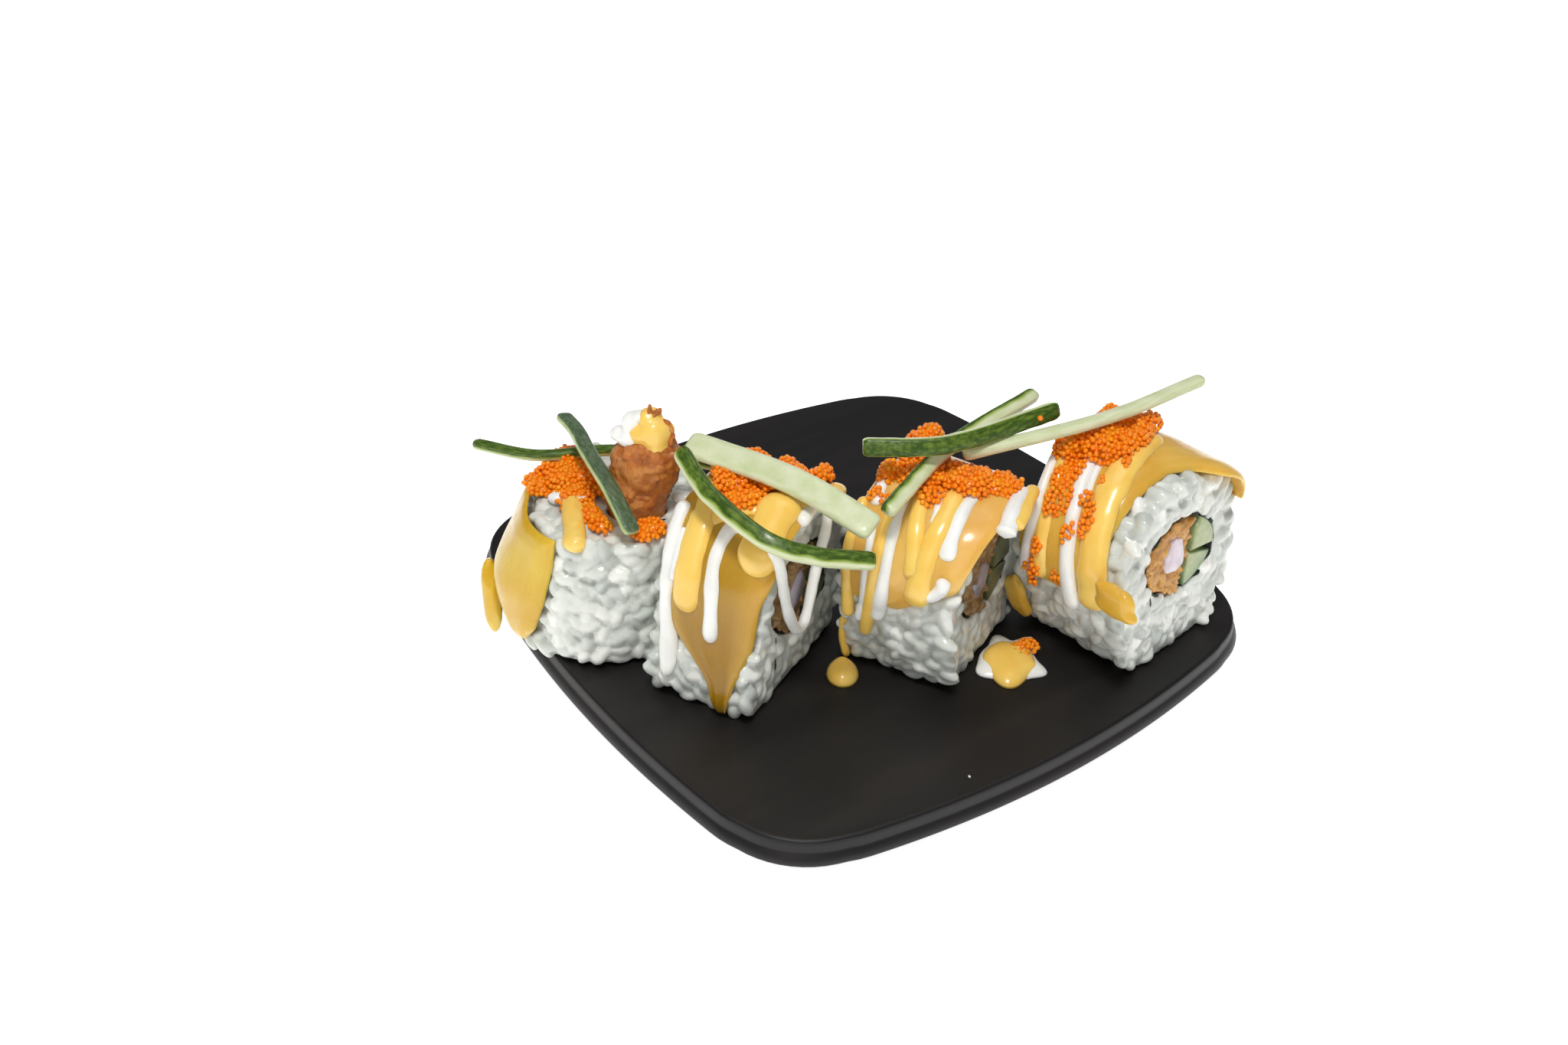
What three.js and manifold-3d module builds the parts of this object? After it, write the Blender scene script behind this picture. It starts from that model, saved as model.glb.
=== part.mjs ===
// Uramaki on its board: four pieces of a rice roll with prawn, nori and cucumber, each
// draped with mango slices and drizzle, topped with roe and cucumber sticks, on a square
// black serving board. Millimetres, +Z up, origin at the middle of the board's underside.
// The row of pieces runs along the board's Y axis and their cut faces look along +X.

import * as THREE from 'three';
import { mergeVertices } from 'three/addons/utils/BufferGeometryUtils.js';
import Module from 'manifold-3d';

const wasm = await Module();
wasm.setup();

// Driving dimensions of the board.
const BOARD_HALF = 90;
const BOARD_CORNER = 25;
const BOARD_BULGE_X = 7;
const BOARD_BULGE_Y = 5.5;
const BOARD_TOP = 9;
const BOARD_BELLY_Z = 2.8;
const BOARD_BELLY_OUT = 2;
const BOARD_FOOT_INSET = 6;

// Driving dimensions shared by the pieces.
const GAP = 0.35;
const NORI = 0.6;
const MANGO = 2.6;
const GRAIN = [3.4, 1.9, 1.9];
const EGG = 0.95;
const EGGS = 10;
const ROE_HEIGHT = 5;

// Each piece stands in its own frame: x runs along the roll and is 0 at the cut face that
// shows, y and z span its section. half, power and feet shape the section; ring is the nori
// round the filling, seam the angle where its outer end comes to the surface; all angles are
// in degrees, counted from y towards z.
const ROLLS = [
  {
    id: 1,
    upright: true,
    at: [-23, -68],
    length: 38,
    half: [25, 25],
    power: 2,
    feet: [],
    ring: { at: [4.3, -10.2], half: [9.6, 7.5], turn: -36, junction: 14 },
    seam: 330,
    lean: 0,
    seed: 11,
    grains: 14,
  },
  {
    id: 2,
    at: [24.7, -36],
    yaw: 27,
    length: 30,
    half: [23, 24],
    power: 2.4,
    feet: [{ angle: 220.6, reach: 12, spread: 22 }, { angle: 306, reach: 4, spread: 22 }],
    ring: { at: [-1, 25], half: [16.4, 12.4], turn: -14, junction: 222 },
    seam: 240,
    lean: 0,
    seed: 22,
    grains: 20,
  },
  {
    id: 3,
    at: [48.5, 5.7],
    yaw: 25,
    length: 32,
    half: [23, 24],
    power: 2.4,
    feet: [{ angle: 235, reach: 4.4, spread: 22 }, { angle: 304, reach: 4, spread: 22 }],
    ring: { at: [0, 26], half: [16, 11.6], turn: -12, junction: 214 },
    seam: 240,
    lean: 0,
    seed: 33,
    grains: 18,
  },
  {
    id: 4,
    at: [76.2, 49.9],
    yaw: 8,
    length: 36,
    half: [26, 26],
    power: 2.3,
    feet: [{ angle: 241, reach: 3, spread: 22 }, { angle: 300, reach: 3, spread: 22 }],
    ring: { at: [0.8, 29.4], half: [16.2, 11.4], turn: -12, junction: 226 },
    seam: 255,
    lean: 0.07,
    seed: 44,
    grains: 16,
  },
];

// Mango slices. around is the stretch of section angle that a slice covers, left and right
// are its side edges as [angle, x] pairs, and swell lifts the slice off the rice.
const SLICES = {
  1: {
    along: [-35.5, 1.2],
    low: [[-35.5, 179], [-31, 158], [-24, 140], [-6, 133], [1.2, 136]],
    high: [[-35.5, 184], [-30, 194], [-20, 203], [-8, 207], [1.2, 204]],
    gap: 0.6,
    swell: 1.3,
    steps: [11, 6],
  },
  2: {
    around: [28, 217],
    left: [[28, -29], [150, -29.5], [184, -26.8], [194, -21], [204, -12], [217, -9.2]],
    right: [[28, 0], [90, 2.4], [145, 1.6], [160, -0.6], [190, -1.6], [205, -4.6], [217, -6.6]],
    gap: 0.9,
    swell: 0.2,
    steps: [17, 4],
  },
  3: {
    around: [30, 180],
    left: [[30, -30], [120, -31], [160, -30.4], [180, -27]],
    right: [[30, 0], [62, 0.5], [80, 3.4], [95, 5], [112, 5], [145, 2], [156, 0.6], [180, -15]],
    gap: 0.5,
    swell: 0.2,
    steps: [14, 4],
  },
  4: {
    around: [24, 186],
    left: [[24, -35], [120, -35.2], [170, -34.6], [186, -32]],
    right: [[24, 2], [52, 6], [68, 5], [80, -1.5], [93, -5.4], [142, -7], [175, -8], [186, -12]],
    gap: 0.5,
    swell: 0.2,
    steps: [15, 4],
  },
};

// Drizzle on each piece, as [x, angle] pairs along its middle line, with its width and its
// height over what it lies on.
const DRIZZLE = {
  2: [
    { path: [[-27, 124], [-26.6, 150], [-26.6, 182], [-25.5, 207]], width: 3.2, high: 1.6 },
    { path: [[-23, 116], [-20.6, 142], [-19, 178]], width: 6.4, high: 1.9 },
    { path: [[-15.4, 120], [-13, 148], [-13.2, 190]], width: 3.8, high: 1.9 },
    { path: [[-7, 116], [-3.6, 134], [-3, 150]], width: 6.6, high: 2.2 },
    { path: [[-2.2, 84], [0, 102], [1.4, 118]], width: 3.6, high: 1.6 },
  ],
  3: [
    { path: [[-28.4, 132], [-29.4, 162], [-29.4, 184]], width: 2.6, high: 1.4 },
    { path: [[-20.6, 128], [-21.4, 158], [-23.4, 205]], width: 6.6, high: 1.8 },
    { path: [[-16.4, 118], [-14.4, 134], [-13.6, 146]], width: 2.6, high: 1.5 },
    { path: [[-10.6, 116], [-9.6, 140], [-10.6, 168]], width: 5.2, high: 1.9 },
    { path: [[-6.4, 108], [-5.4, 122], [-4.8, 141]], width: 2.6, high: 1.5 },
    { path: [[4, 76], [5.2, 98], [4.4, 112]], width: 4.4, high: 1.6 },
  ],
  4: [
    { path: [[-33, 136], [-30.2, 155], [-30.4, 186]], width: 5.4, high: 1.7 },
    { path: [[-20.6, 140], [-17.6, 165], [-15.6, 198]], width: 4.2, high: 1.9 },
    { path: [[-15.6, 88], [-12.4, 122], [-10.4, 160], [-9.4, 188]], width: 8, high: 2 },
  ],
};

// Roe heaps: middle, reach along and across, turn, and tongues that run out of the heap.
// On the lying pieces the place is [x, distance round the roll from its top].
const HEAPS = {
  1: { at: [-6.5, 5], half: [17.5, 11], turn: -62, tongues: [{ angle: -12, reach: 6, spread: 26 }] },
  2: { at: [-15.5, 0], half: [11.5, 10.5], turn: 0, tongues: [{ angle: 205, reach: 4, spread: 30 }] },
  3: { at: [-14.5, 0], half: [14, 11.5], turn: 0, tongues: [{ angle: 228, reach: 5, spread: 26 }] },
  4: { at: [-27.5, 5], half: [9.6, 14], turn: 0, tongues: [{ angle: 100, reach: 13, spread: 24 }] },
};
const PATCH = { at: [0.5, -22.4], half: [5.2, 3.7], turn: -8, tongues: [], high: 2.6, eggs: 5, steps: [10, 5] };

// Cucumber sticks, as the points of their middle lines over the board's top, with the width
// and thickness of the strip and its roll about its own length.
const STICKS = [
  {
    name: 'stick_1',
    width: 3,
    deep: 2.8,
    spin: 0,
    path: [[-56.4, -88.3, 44], [-41, -77.4, 44.5], [-30.4, -61, 46], [-12.6, -52.2, 50], [3.3, -47.4, 53.6]],
  },
  {
    name: 'stick_2',
    width: 4.6,
    deep: 2.6,
    spin: -12,
    path: [[-43.5, -67.8, 52.5], [-35.2, -68.3, 52], [-24.4, -70.8, 51.6], [-8, -73.4, 49.6], [3.6, -74.4, 43.8]],
  },
  { name: 'stick_3', width: 7.4, deep: 3, spin: 24, path: [[-4.9, -52.2, 58], [22.7, -39.8, 57], [45.3, -31.9, 52.6]] },
  {
    name: 'stick_4',
    width: 4.6,
    deep: 3,
    spin: 40,
    path: [[2.8, -59.5, 62], [17.7, -60.9, 58], [36, -57, 53.5], [44, -48, 50], [50, -35, 47]],
  },
  { name: 'stick_5', width: 4.6, deep: 3.6, spin: 68, path: [[25.4, -20.1, 61.4], [36.6, -1, 61.8], [39.8, 32.3, 62.8]] },
  { name: 'stick_6', width: 4, deep: 3.2, spin: 20, path: [[42, -25.2, 53.4], [30.8, 4.6, 56.5], [25.1, 39, 58.6]] },
  { name: 'stick_7', width: 3.4, deep: 3, spin: 0, path: [[36.6, 4, 57], [49.6, 40, 62.5], [54.3, 70.4, 67]] },
];

const radians = THREE.MathUtils.degToRad;
const lerp = THREE.MathUtils.lerp;

// A value read off a list of [position, value] pairs.
function along(pairs, position) {
  let last = pairs[0];
  for (const pair of pairs) {
    if (position <= pair[0]) {
      const span = pair[0] - last[0];
      return span === 0 ? pair[1] : lerp(last[1], pair[1], (position - last[0]) / span);
    }
    last = pair;
  }
  return last[1];
}

// Seeded random draws between -1 and 1.
function draws(seed) {
  let state = seed * 2654435761 % 4294967296;
  return () => {
    state = (state * 1664525 + 1013904223) % 4294967296;
    return state / 2147483648 - 1;
  };
}

// A roughness that is the same wherever a geometry repeats a vertex.
function roughness(random) {
  const known = new Map();
  return (point) => {
    const key = point.toArray().map((value) => Math.round(value * 1000)).join(' ');
    if (!known.has(key)) {
      known.set(key, random());
    }
    return known.get(key);
  };
}

// Moves every vertex of a geometry.
function warp(geometry, place) {
  const points = geometry.attributes.position;
  const point = new THREE.Vector3();
  for (let i = 0; i < points.count; i += 1) {
    point.fromBufferAttribute(points, i);
    place(point);
    points.setXYZ(i, point.x, point.y, point.z);
  }
  return geometry;
}

// The closed solid of a geometry, with its faces turned outwards.
function solid(source) {
  const geometry = source.clone();
  geometry.deleteAttribute('normal');
  geometry.deleteAttribute('uv');
  const welded = mergeVertices(geometry, 1e-4);
  const spots = welded.attributes.position;
  const order = welded.index.array;
  const a = new THREE.Vector3();
  const b = new THREE.Vector3();
  const c = new THREE.Vector3();
  const kept = [];
  let volume = 0;
  for (let i = 0; i < order.length; i += 3) {
    const [p, q, r] = [order[i], order[i + 1], order[i + 2]];
    if (p !== q && q !== r && r !== p) {
      kept.push([p, q, r]);
      a.fromBufferAttribute(spots, p);
      b.fromBufferAttribute(spots, q);
      c.fromBufferAttribute(spots, r);
      volume += a.dot(b.cross(c));
    }
  }
  const faces = kept.flatMap(([p, q, r]) => (volume < 0 ? [p, r, q] : [p, q, r]));
  const mesh = new wasm.Mesh({
    numProp: 3,
    vertProperties: Float32Array.from(spots.array),
    triVerts: Uint32Array.from(faces),
  });
  return new wasm.Manifold(mesh);
}

// Back from a solid to a geometry.
function geometryOf(body) {
  const mesh = body.getMesh();
  const geometry = new THREE.BufferGeometry();
  geometry.setAttribute('position', new THREE.BufferAttribute(Float32Array.from(mesh.vertProperties), 3));
  geometry.setIndex(new THREE.BufferAttribute(Uint32Array.from(mesh.triVerts), 1));
  geometry.computeVertexNormals();
  return geometry;
}

// Only the largest body of a solid, so that no scrap is left loose.
function largest(body) {
  const bodies = body.decompose();
  return bodies.reduce((best, next) => (next.volume() > best.volume() ? next : best));
}

function join(bodies) {
  return bodies.reduce((whole, next) => whole.add(next));
}

const finish = {
  board: { color: 0x1c1a1a, roughness: 0.45, metalness: 0 },
  rice: { color: 0xe6e9e4, roughness: 0.4, metalness: 0 },
  nori: { color: 0x16201a, roughness: 0.6, metalness: 0 },
  prawn: { color: 0xb56a32, roughness: 0.7, metalness: 0 },
  cucumber: { color: 0xb9cf8e, roughness: 0.35, metalness: 0 },
  skin: { color: 0x2f6a2c, roughness: 0.35, metalness: 0 },
  mango: { color: 0xe0a52c, roughness: 0.25, metalness: 0 },
  roe: { color: 0xf4720f, roughness: 0.2, metalness: 0 },
  sauce: { color: 0xf3bf5c, roughness: 0.3, metalness: 0 },
};

function sub(name, body, look) {
  const mesh = new THREE.Mesh(geometryOf(body), new THREE.MeshStandardMaterial(finish[look]));
  mesh.name = name;
  return mesh;
}

// The board: a square with round corners and slightly bowed sides, turned as a lathe profile
// whose every point is pushed out to the outline. The rim undercuts to a flat foot.
function boardReach(angle) {
  const halfX = BOARD_HALF - BOARD_CORNER;
  const direction = new THREE.Vector2(Math.cos(angle), Math.sin(angle));
  let near = 0;
  let far = 2 * BOARD_HALF;
  for (let step = 0; step < 30; step += 1) {
    const reach = (near + far) / 2;
    const x = Math.abs(direction.x * reach);
    const y = Math.abs(direction.y * reach);
    const bowX = BOARD_BULGE_X * (1 - Math.min(1, y / halfX) ** 2);
    const bowY = BOARD_BULGE_Y * (1 - Math.min(1, x / halfX) ** 2);
    const outX = Math.max(0, x - (halfX - BOARD_BULGE_X + bowX));
    const outY = Math.max(0, y - (halfX - BOARD_BULGE_Y + bowY));
    if (Math.hypot(outX, outY) > BOARD_CORNER) {
      far = reach;
    } else {
      near = reach;
    }
  }
  return near;
}

function board() {
  const unit = BOARD_HALF;
  const profile = [
    [0, 0],
    [unit - BOARD_FOOT_INSET, 0],
    [unit - 1, 0.8],
    [unit + BOARD_BELLY_OUT, BOARD_BELLY_Z],
    [unit + 0.6, BOARD_TOP - 3.7],
    [unit + 0.2, BOARD_TOP - 0.6],
    [unit - 0.4, BOARD_TOP],
    [0, BOARD_TOP],
  ].map(([reach, z]) => new THREE.Vector2(reach, z));
  const lathe = new THREE.LatheGeometry(profile, 60);
  const edge = new Map();
  return solid(warp(lathe, (point) => {
    const reach = Math.hypot(point.x, point.z);
    const angle = Math.atan2(point.x, point.z);
    const key = angle.toFixed(4);
    if (!edge.has(key)) {
      edge.set(key, boardReach(angle));
    }
    const scaled = reach === 0 ? 0 : edge.get(key) + reach - unit;
    point.set(Math.cos(angle) * scaled, Math.sin(angle) * scaled, point.y);
  }));
}

// The section of a roll: its radius at an angle, and the point at an angle and an offset.
function sectionRadius(roll, angle) {
  const turn = radians(angle);
  const across = (Math.abs(Math.cos(turn)) / roll.half[0]) ** roll.power;
  const upward = (Math.abs(Math.sin(turn)) / roll.half[1]) ** roll.power;
  const feet = roll.feet.map((foot) => {
    const away = ((angle - foot.angle + 540) % 360) - 180;
    return foot.reach * Math.exp(-((away / foot.spread) ** 2));
  });
  return (across + upward) ** (-1 / roll.power) + feet.reduce((sum, foot) => sum + foot, 0);
}

function sectionPoint(roll, angle, offset = 0) {
  const turn = radians(angle);
  const reach = sectionRadius(roll, angle) + offset;
  const middle = roll.upright ? 0 : roll.half[1];
  const lift = middle + reach * Math.sin(turn);
  return new THREE.Vector2(reach * Math.cos(turn), roll.upright ? lift : Math.max(GAP, lift));
}

// How far the cut face leans back at a height; the other end stays upright.
function leanAt(roll, x, height) {
  return roll.lean * height * (1 + x / roll.length);
}

// A point on the roll, at x along it, an angle round it and an offset from its surface.
function surface(roll, x, angle, offset) {
  const section = sectionPoint(roll, angle, offset);
  return new THREE.Vector3(x - leanAt(roll, x, section.y), section.x, section.y);
}

function ringPoint(roll, angle, grow) {
  const { at, half, turn } = roll.ring;
  const point = new THREE.Vector2(
    (half[0] + grow) * Math.cos(radians(angle)),
    (half[1] + grow) * Math.sin(radians(angle)),
  );
  return point.rotateAround(new THREE.Vector2(), radians(turn)).add(new THREE.Vector2(...at));
}

function ringAngles(roll, from, to, count) {
  return Array.from({ length: count + 1 }, (_, i) => roll.ring.junction + lerp(from, to, i / count));
}

// Extrudes a section outline along the roll, from its back end to the cut face.
function runThrough(roll, outline, steps, short = 0) {
  const shape = new THREE.Shape(outline);
  const geometry = new THREE.ExtrudeGeometry(shape, {
    depth: roll.length - 2 * short,
    steps,
    bevelEnabled: false,
  });
  return solid(warp(geometry, (point) => {
    const x = point.z - roll.length + short;
    point.set(x - leanAt(roll, x, point.y), point.x, point.y);
  }));
}

// Rice: a thick C round the nori, open where the nori's outer end runs out to the surface,
// with whole grains fused on wherever no slice or drizzle lies.
function riceOutline(roll) {
  const clear = NORI / 2 + GAP;
  const around = 42;
  const slit = THREE.MathUtils.radToDeg(clear / sectionRadius(roll, roll.seam));
  const outer = Array.from({ length: around + 1 }, (_, i) => {
    const angle = roll.seam + lerp(slit, 360 - slit, i / around);
    return sectionPoint(roll, angle);
  });
  const opening = THREE.MathUtils.radToDeg(clear / roll.ring.half[1]) * 1.3;
  const inner = ringAngles(roll, 360 - opening, opening, 22).map((angle) => ringPoint(roll, angle, clear));
  return [...outer, ...inner];
}

function coveredBySlice(roll, x, angle) {
  const slice = SLICES[roll.id];
  const margin = 5;
  if (slice.along) {
    const inside = angle > along(slice.low, x) - margin * 2 && angle < along(slice.high, x) + margin * 1.6;
    return inside && x > slice.along[0] - margin;
  }
  const turn = Math.min(Math.max(angle, slice.around[0]), slice.around[1]);
  const near = angle > slice.around[0] - margin * 2 && angle < slice.around[1] + margin * 2;
  return near && x > along(slice.left, turn) - margin && x < along(slice.right, turn) + margin;
}

function coveredByDrizzle(roll, x, angle) {
  return (DRIZZLE[roll.id] ?? []).some(({ path, width }) => {
    const pairs = path.map(([spot, turn]) => [turn, spot]);
    const last = pairs[pairs.length - 1][0];
    return angle < last + 12 && Math.abs(x - along(pairs, angle)) < width / 2 + 4.2;
  });
}

function grain(roll, spot, outward, random) {
  const geometry = new THREE.SphereGeometry(1, 4, 3).rotateZ(Math.PI / 2);
  const spin = new THREE.Quaternion().setFromUnitVectors(new THREE.Vector3(0, 0, 1), outward);
  const yaw = new THREE.Quaternion().setFromAxisAngle(new THREE.Vector3(0, 0, 1), random() * Math.PI);
  const tip = new THREE.Quaternion().setFromAxisAngle(new THREE.Vector3(0, 1, 0), random() * 0.35);
  spin.multiply(yaw).multiply(tip);
  return solid(warp(geometry, (point) => {
    point.multiply(new THREE.Vector3(...GRAIN)).applyQuaternion(spin).add(spot);
  }));
}

function rice(roll) {
  const random = draws(roll.seed);
  const core = runThrough(roll, riceOutline(roll), 1);
  const bodies = [core];
  const golden = 137.508;
  const edge = 3;
  const deep = 0.35;
  for (let i = 0; i < roll.grains * 2.2; i += 1) {
    const angle = (i * golden + random() * 8 + 720) % 360;
    const x = -lerp(edge, roll.length - edge, ((i * 0.618) % 1));
    const besideNext = roll.upright && angle > 250 && angle < 332 && (angle > 296 || x > -8);
    const hidden = besideNext || coveredBySlice(roll, x, angle) || coveredByDrizzle(roll, x, angle);
    const underneath = !roll.upright && angle > 248 && angle < 292;
    if (!hidden && !underneath) {
      const spot = surface(roll, x, angle, -deep + random() * 0.3);
      const beyond = surface(roll, x, angle, 2);
      const low = roll.upright ? x < edge * 1.4 - roll.length : spot.z < GRAIN[1] + 0.6;
      if (!low) {
        bodies.push(grain(roll, spot, beyond.sub(spot).normalize(), random));
      }
    }
  }
  for (let i = 0; i < roll.grains * 0.7; i += 1) {
    const angle = i * golden % 360;
    const rim = sectionPoint(roll, angle);
    const ring = ringPoint(roll, angle - roll.ring.turn, 0);
    const share = 0.42 + 0.22 * random();
    const y = lerp(ring.x, rim.x, share);
    const z = lerp(ring.y, rim.y, share);
    const away = (other) => Math.abs(((angle - other + 540) % 360) - 180);
    const bySeam = away(roll.seam) < 26;
    const wall = Math.hypot(rim.x - ring.x, rim.y - ring.y);
    const underRoe = roll.upright && angle > 60 && angle < 300;
    if (!bySeam && !underRoe && wall > 6 && (roll.upright || z > 3.4)) {
      const spot = new THREE.Vector3(-deep - leanAt(roll, 0, z), y, z);
      bodies.push(grain(roll, spot, new THREE.Vector3(1, 0, 0), random));
    }
  }
  return largest(join(bodies).subtract(hollow(roll)));
}

// The space that the nori takes, run on past both ends of the roll: its ring and its end.
function hollow(roll) {
  const clear = NORI / 2 + GAP;
  const past = -6;
  const ring = ringAngles(roll, 0, 345, 23).map((angle) => ringPoint(roll, angle, clear));
  const { root, end, way } = noriEnd(roll);
  root.addScaledVector(way, -2);
  end.addScaledVector(way, 6);
  const side = new THREE.Vector2(-way.y, way.x).multiplyScalar(clear);
  const strip = [root.clone().add(side), root.clone().sub(side), end.clone().sub(side), end.clone().add(side)];
  return runThrough(roll, ring, 1, past).add(runThrough(roll, strip, 1, past));
}

// Where the nori leaves its ring, where it ends, and the way between.
function noriEnd(roll) {
  const root = ringPoint(roll, roll.ring.junction, 0);
  const end = sectionPoint(roll, roll.seam, -0.3);
  return { root, end, way: end.clone().sub(root).normalize() };
}

// Nori: one sheet that wraps the filling and ends at the roll's surface.
function noriOutline(roll) {
  const half = NORI / 2;
  const degreesFor = (length) => THREE.MathUtils.radToDeg(length / roll.ring.half[1]) * 1.2;
  const stop = 360 - degreesFor(2.4 * NORI);
  const outside = ringAngles(roll, degreesFor(half), stop, 18).map((angle) => ringPoint(roll, angle, half));
  const inside = ringAngles(roll, stop, 0, 18).map((angle) => ringPoint(roll, angle, -half));
  const base = ringPoint(roll, roll.ring.junction - degreesFor(half), half);
  const { end, way } = noriEnd(roll);
  const side = new THREE.Vector2(-way.y, way.x).multiplyScalar(half);
  return [end.clone().add(side), ...outside, ...inside, base, end.clone().sub(side)];
}

// Filling: the battered prawn, its crust in low crags, and cucumber beside it.
function ringFrame(roll, u, v) {
  const { at, turn } = roll.ring;
  return new THREE.Vector2(u, v)
    .rotateAround(new THREE.Vector2(), radians(turn))
    .add(new THREE.Vector2(...at));
}

// Ring-frame points along the inside of the nori, between two angles.
function insideArc(roll, from, to, count, random) {
  const shy = -(NORI / 2 + GAP + 0.15);
  return Array.from({ length: count + 1 }, (_, i) => {
    const turn = radians(lerp(from, to, i / count));
    const crag = shy - (random ? 0.35 + 0.35 * random() : 0);
    const [a, b] = roll.ring.half;
    return ringFrame(roll, (a + crag) * Math.cos(turn), (b + crag) * Math.sin(turn));
  });
}

function prawnInside(roll) {
  const random = draws(roll.seed + 5);
  const start = 80;
  const bulge = [[0.12, -0.45], [0.2, 0], [0.12, 0.45]].map(([u, v]) => {
    return ringFrame(roll, u * roll.ring.half[0], v * roll.ring.half[1]);
  });
  return runThrough(roll, [...insideArc(roll, start, 360 - start, 17, random), ...bulge], 1, 0.2);
}

function cucumberInside(roll, low) {
  const [a, b] = roll.ring.half;
  const flat = low ? -0.05 : 0.03;
  const outline = low
    ? [...insideArc(roll, 290, 352, 5), ringFrame(roll, 0.28 * a, flat * b)]
    : [...insideArc(roll, 5, 68, 5), ringFrame(roll, 0.28 * a, flat * b)];
  return runThrough(roll, outline, 1, low ? 0.5 : 0.1);
}

// A slice lies round the roll as a sheet that thins out to its edges.
function slice(roll, grow = 0) {
  const plan = SLICES[roll.id];
  const [rows, columns] = plan.steps;
  const sheet = new THREE.BoxGeometry(1, 1, 1, columns, rows, 1);
  return solid(warp(sheet, (point) => {
    const u = point.x + 0.5;
    const v = point.y + 0.5;
    const rim = Math.min(u, 1 - u, (1 - v) * 1.4, v * 2);
    const deep = MANGO * (0.45 + 0.55 * Math.min(1, rim / 0.18)) + grow;
    const swell = plan.swell * (1 + Math.sin(7 * v + 4 * u));
    const offset = plan.gap + swell * Math.sin(Math.PI * u) ** 2 + (point.z + 0.5) * deep - grow / 2;
    if (plan.along) {
      const x = lerp(plan.along[0], plan.along[1], v);
      const angle = lerp(along(plan.low, x), along(plan.high, x), u);
      point.copy(surface(roll, x, angle, offset));
    } else {
      const angle = lerp(plan.around[0], plan.around[1], v);
      const x = lerp(along(plan.left, angle), along(plan.right, angle), u);
      point.copy(surface(roll, x, angle, offset));
    }
  }));
}

// A thick strand of drizzle, round on top, from just over the rice to its own height.
function strand(roll, { path, width, high }, grow = 0) {
  const turns = path.map(([x, angle], i) => [i / (path.length - 1), angle, x]);
  const angleAt = (t) => along(turns.map(([step, angle]) => [step, angle]), t);
  const xAt = (t) => along(turns.map(([step, , x]) => [step, x]), t);
  const steps = 2 * (path.length - 1) + 1;
  const bar = new THREE.CylinderGeometry(1, 1, 1, 6, steps);
  const sliceEnd = SLICES[roll.id].around[1];
  return solid(warp(bar, (point) => {
    const t = point.y + 0.5;
    const taper = Math.min(1, 0.5 + 3 * Math.min(t, 1 - t));
    const x = xAt(t) + point.x * (width / 2 + grow) * taper;
    const pastEnd = t < 0.01 || t > 0.99 ? THREE.MathUtils.radToDeg(grow / roll.half[1]) : 0;
    const angle = angleAt(t) + (t < 0.5 ? -pastEnd : pastEnd);
    const onSlice = Math.min(1, Math.max(0, (sliceEnd + 6 - angle) / 12));
    const { gap } = SLICES[roll.id];
    const top = gap + onSlice * MANGO + high * (0.6 + 0.4 * taper) + grow;
    const base = gap + onSlice * MANGO / 2 - grow;
    const offset = lerp(base, top, (point.z + 1) / 2);
    point.copy(surface(roll, x, angle, offset));
  }));
}

function sliceWithDrizzle(roll) {
  return largest(join([slice(roll), ...(DRIZZLE[roll.id] ?? []).map((one) => strand(roll, one))]));
}

// A roe heap: a low dome with bumps as large as the eggs, and whole eggs fused over it.
function heapSpot(roll, plan, u, v, offset) {
  const turned = new THREE.Vector2(u, v).rotateAround(new THREE.Vector2(), radians(plan.turn));
  const [p, q] = [plan.at[0] + turned.x, plan.at[1] + turned.y];
  if (roll.upright) {
    return new THREE.Vector3(offset, p, q);
  }
  const angle = 90 + THREE.MathUtils.radToDeg(q / roll.half[1]);
  return surface(roll, p, angle, offset);
}

function heap(roll, plan, cutters) {
  const random = draws(roll.seed + 9);
  const eggCount = plan.eggs ?? EGGS;
  const floor = roll.upright ? 0.6 : SLICES[roll.id].gap + MANGO + 0.6 + SLICES[roll.id].swell * 2;
  const reachAt = (angle) => {
    const tongues = plan.tongues.map((tongue) => {
      const away = ((angle - tongue.angle + 540) % 360) - 180;
      return tongue.reach * Math.exp(-((away / tongue.spread) ** 2));
    });
    const turn = radians(angle);
    const oval = 1 / Math.hypot(Math.cos(turn) / plan.half[0], Math.sin(turn) / plan.half[1]);
    return oval + tongues.reduce((sum, tongue) => sum + tongue, 0);
  };
  const topAt = (share) => floor + (plan.high ?? ROE_HEIGHT) * Math.sqrt(Math.max(0, 1 - share ** 2.4));
  const ball = new THREE.SphereGeometry(1, ...(plan.steps ?? [18, 9])).rotateX(Math.PI / 2);
  const rough = roughness(random);
  const dome = solid(warp(ball, (point) => {
    const share = Math.min(1, Math.hypot(point.x, point.y));
    const angle = THREE.MathUtils.radToDeg(Math.atan2(point.y, point.x));
    const bump = rough(point);
    const reach = reachAt((angle + 360) % 360) * share * (1 + 0.04 * bump);
    const upper = point.z > 0.01;
    const lift = upper ? topAt(share) + 0.4 * bump : floor;
    const offset = upper ? Math.max(floor + 0.4, lift) : floor + (point.z > -0.01 ? 0.2 : 0);
    const turn = radians(angle);
    point.copy(heapSpot(roll, plan, reach * Math.cos(turn), reach * Math.sin(turn), offset));
  }));
  const eggs = Array.from({ length: eggCount }, (_, i) => {
    const share = Math.sqrt((i + 0.5) / eggCount) * 0.97;
    const angle = (i * 137.508) % 360;
    const reach = reachAt(angle) * share;
    const turn = radians(angle);
    const spot = heapSpot(roll, plan, reach * Math.cos(turn), reach * Math.sin(turn), topAt(share) + 0.35);
    return solid(new THREE.OctahedronGeometry(EGG, 0).translate(spot.x, spot.y, spot.z));
  });
  let body = join([dome, ...eggs]);
  for (const cutter of cutters) {
    body = body.subtract(cutter);
  }
  return largest(body);
}

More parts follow.
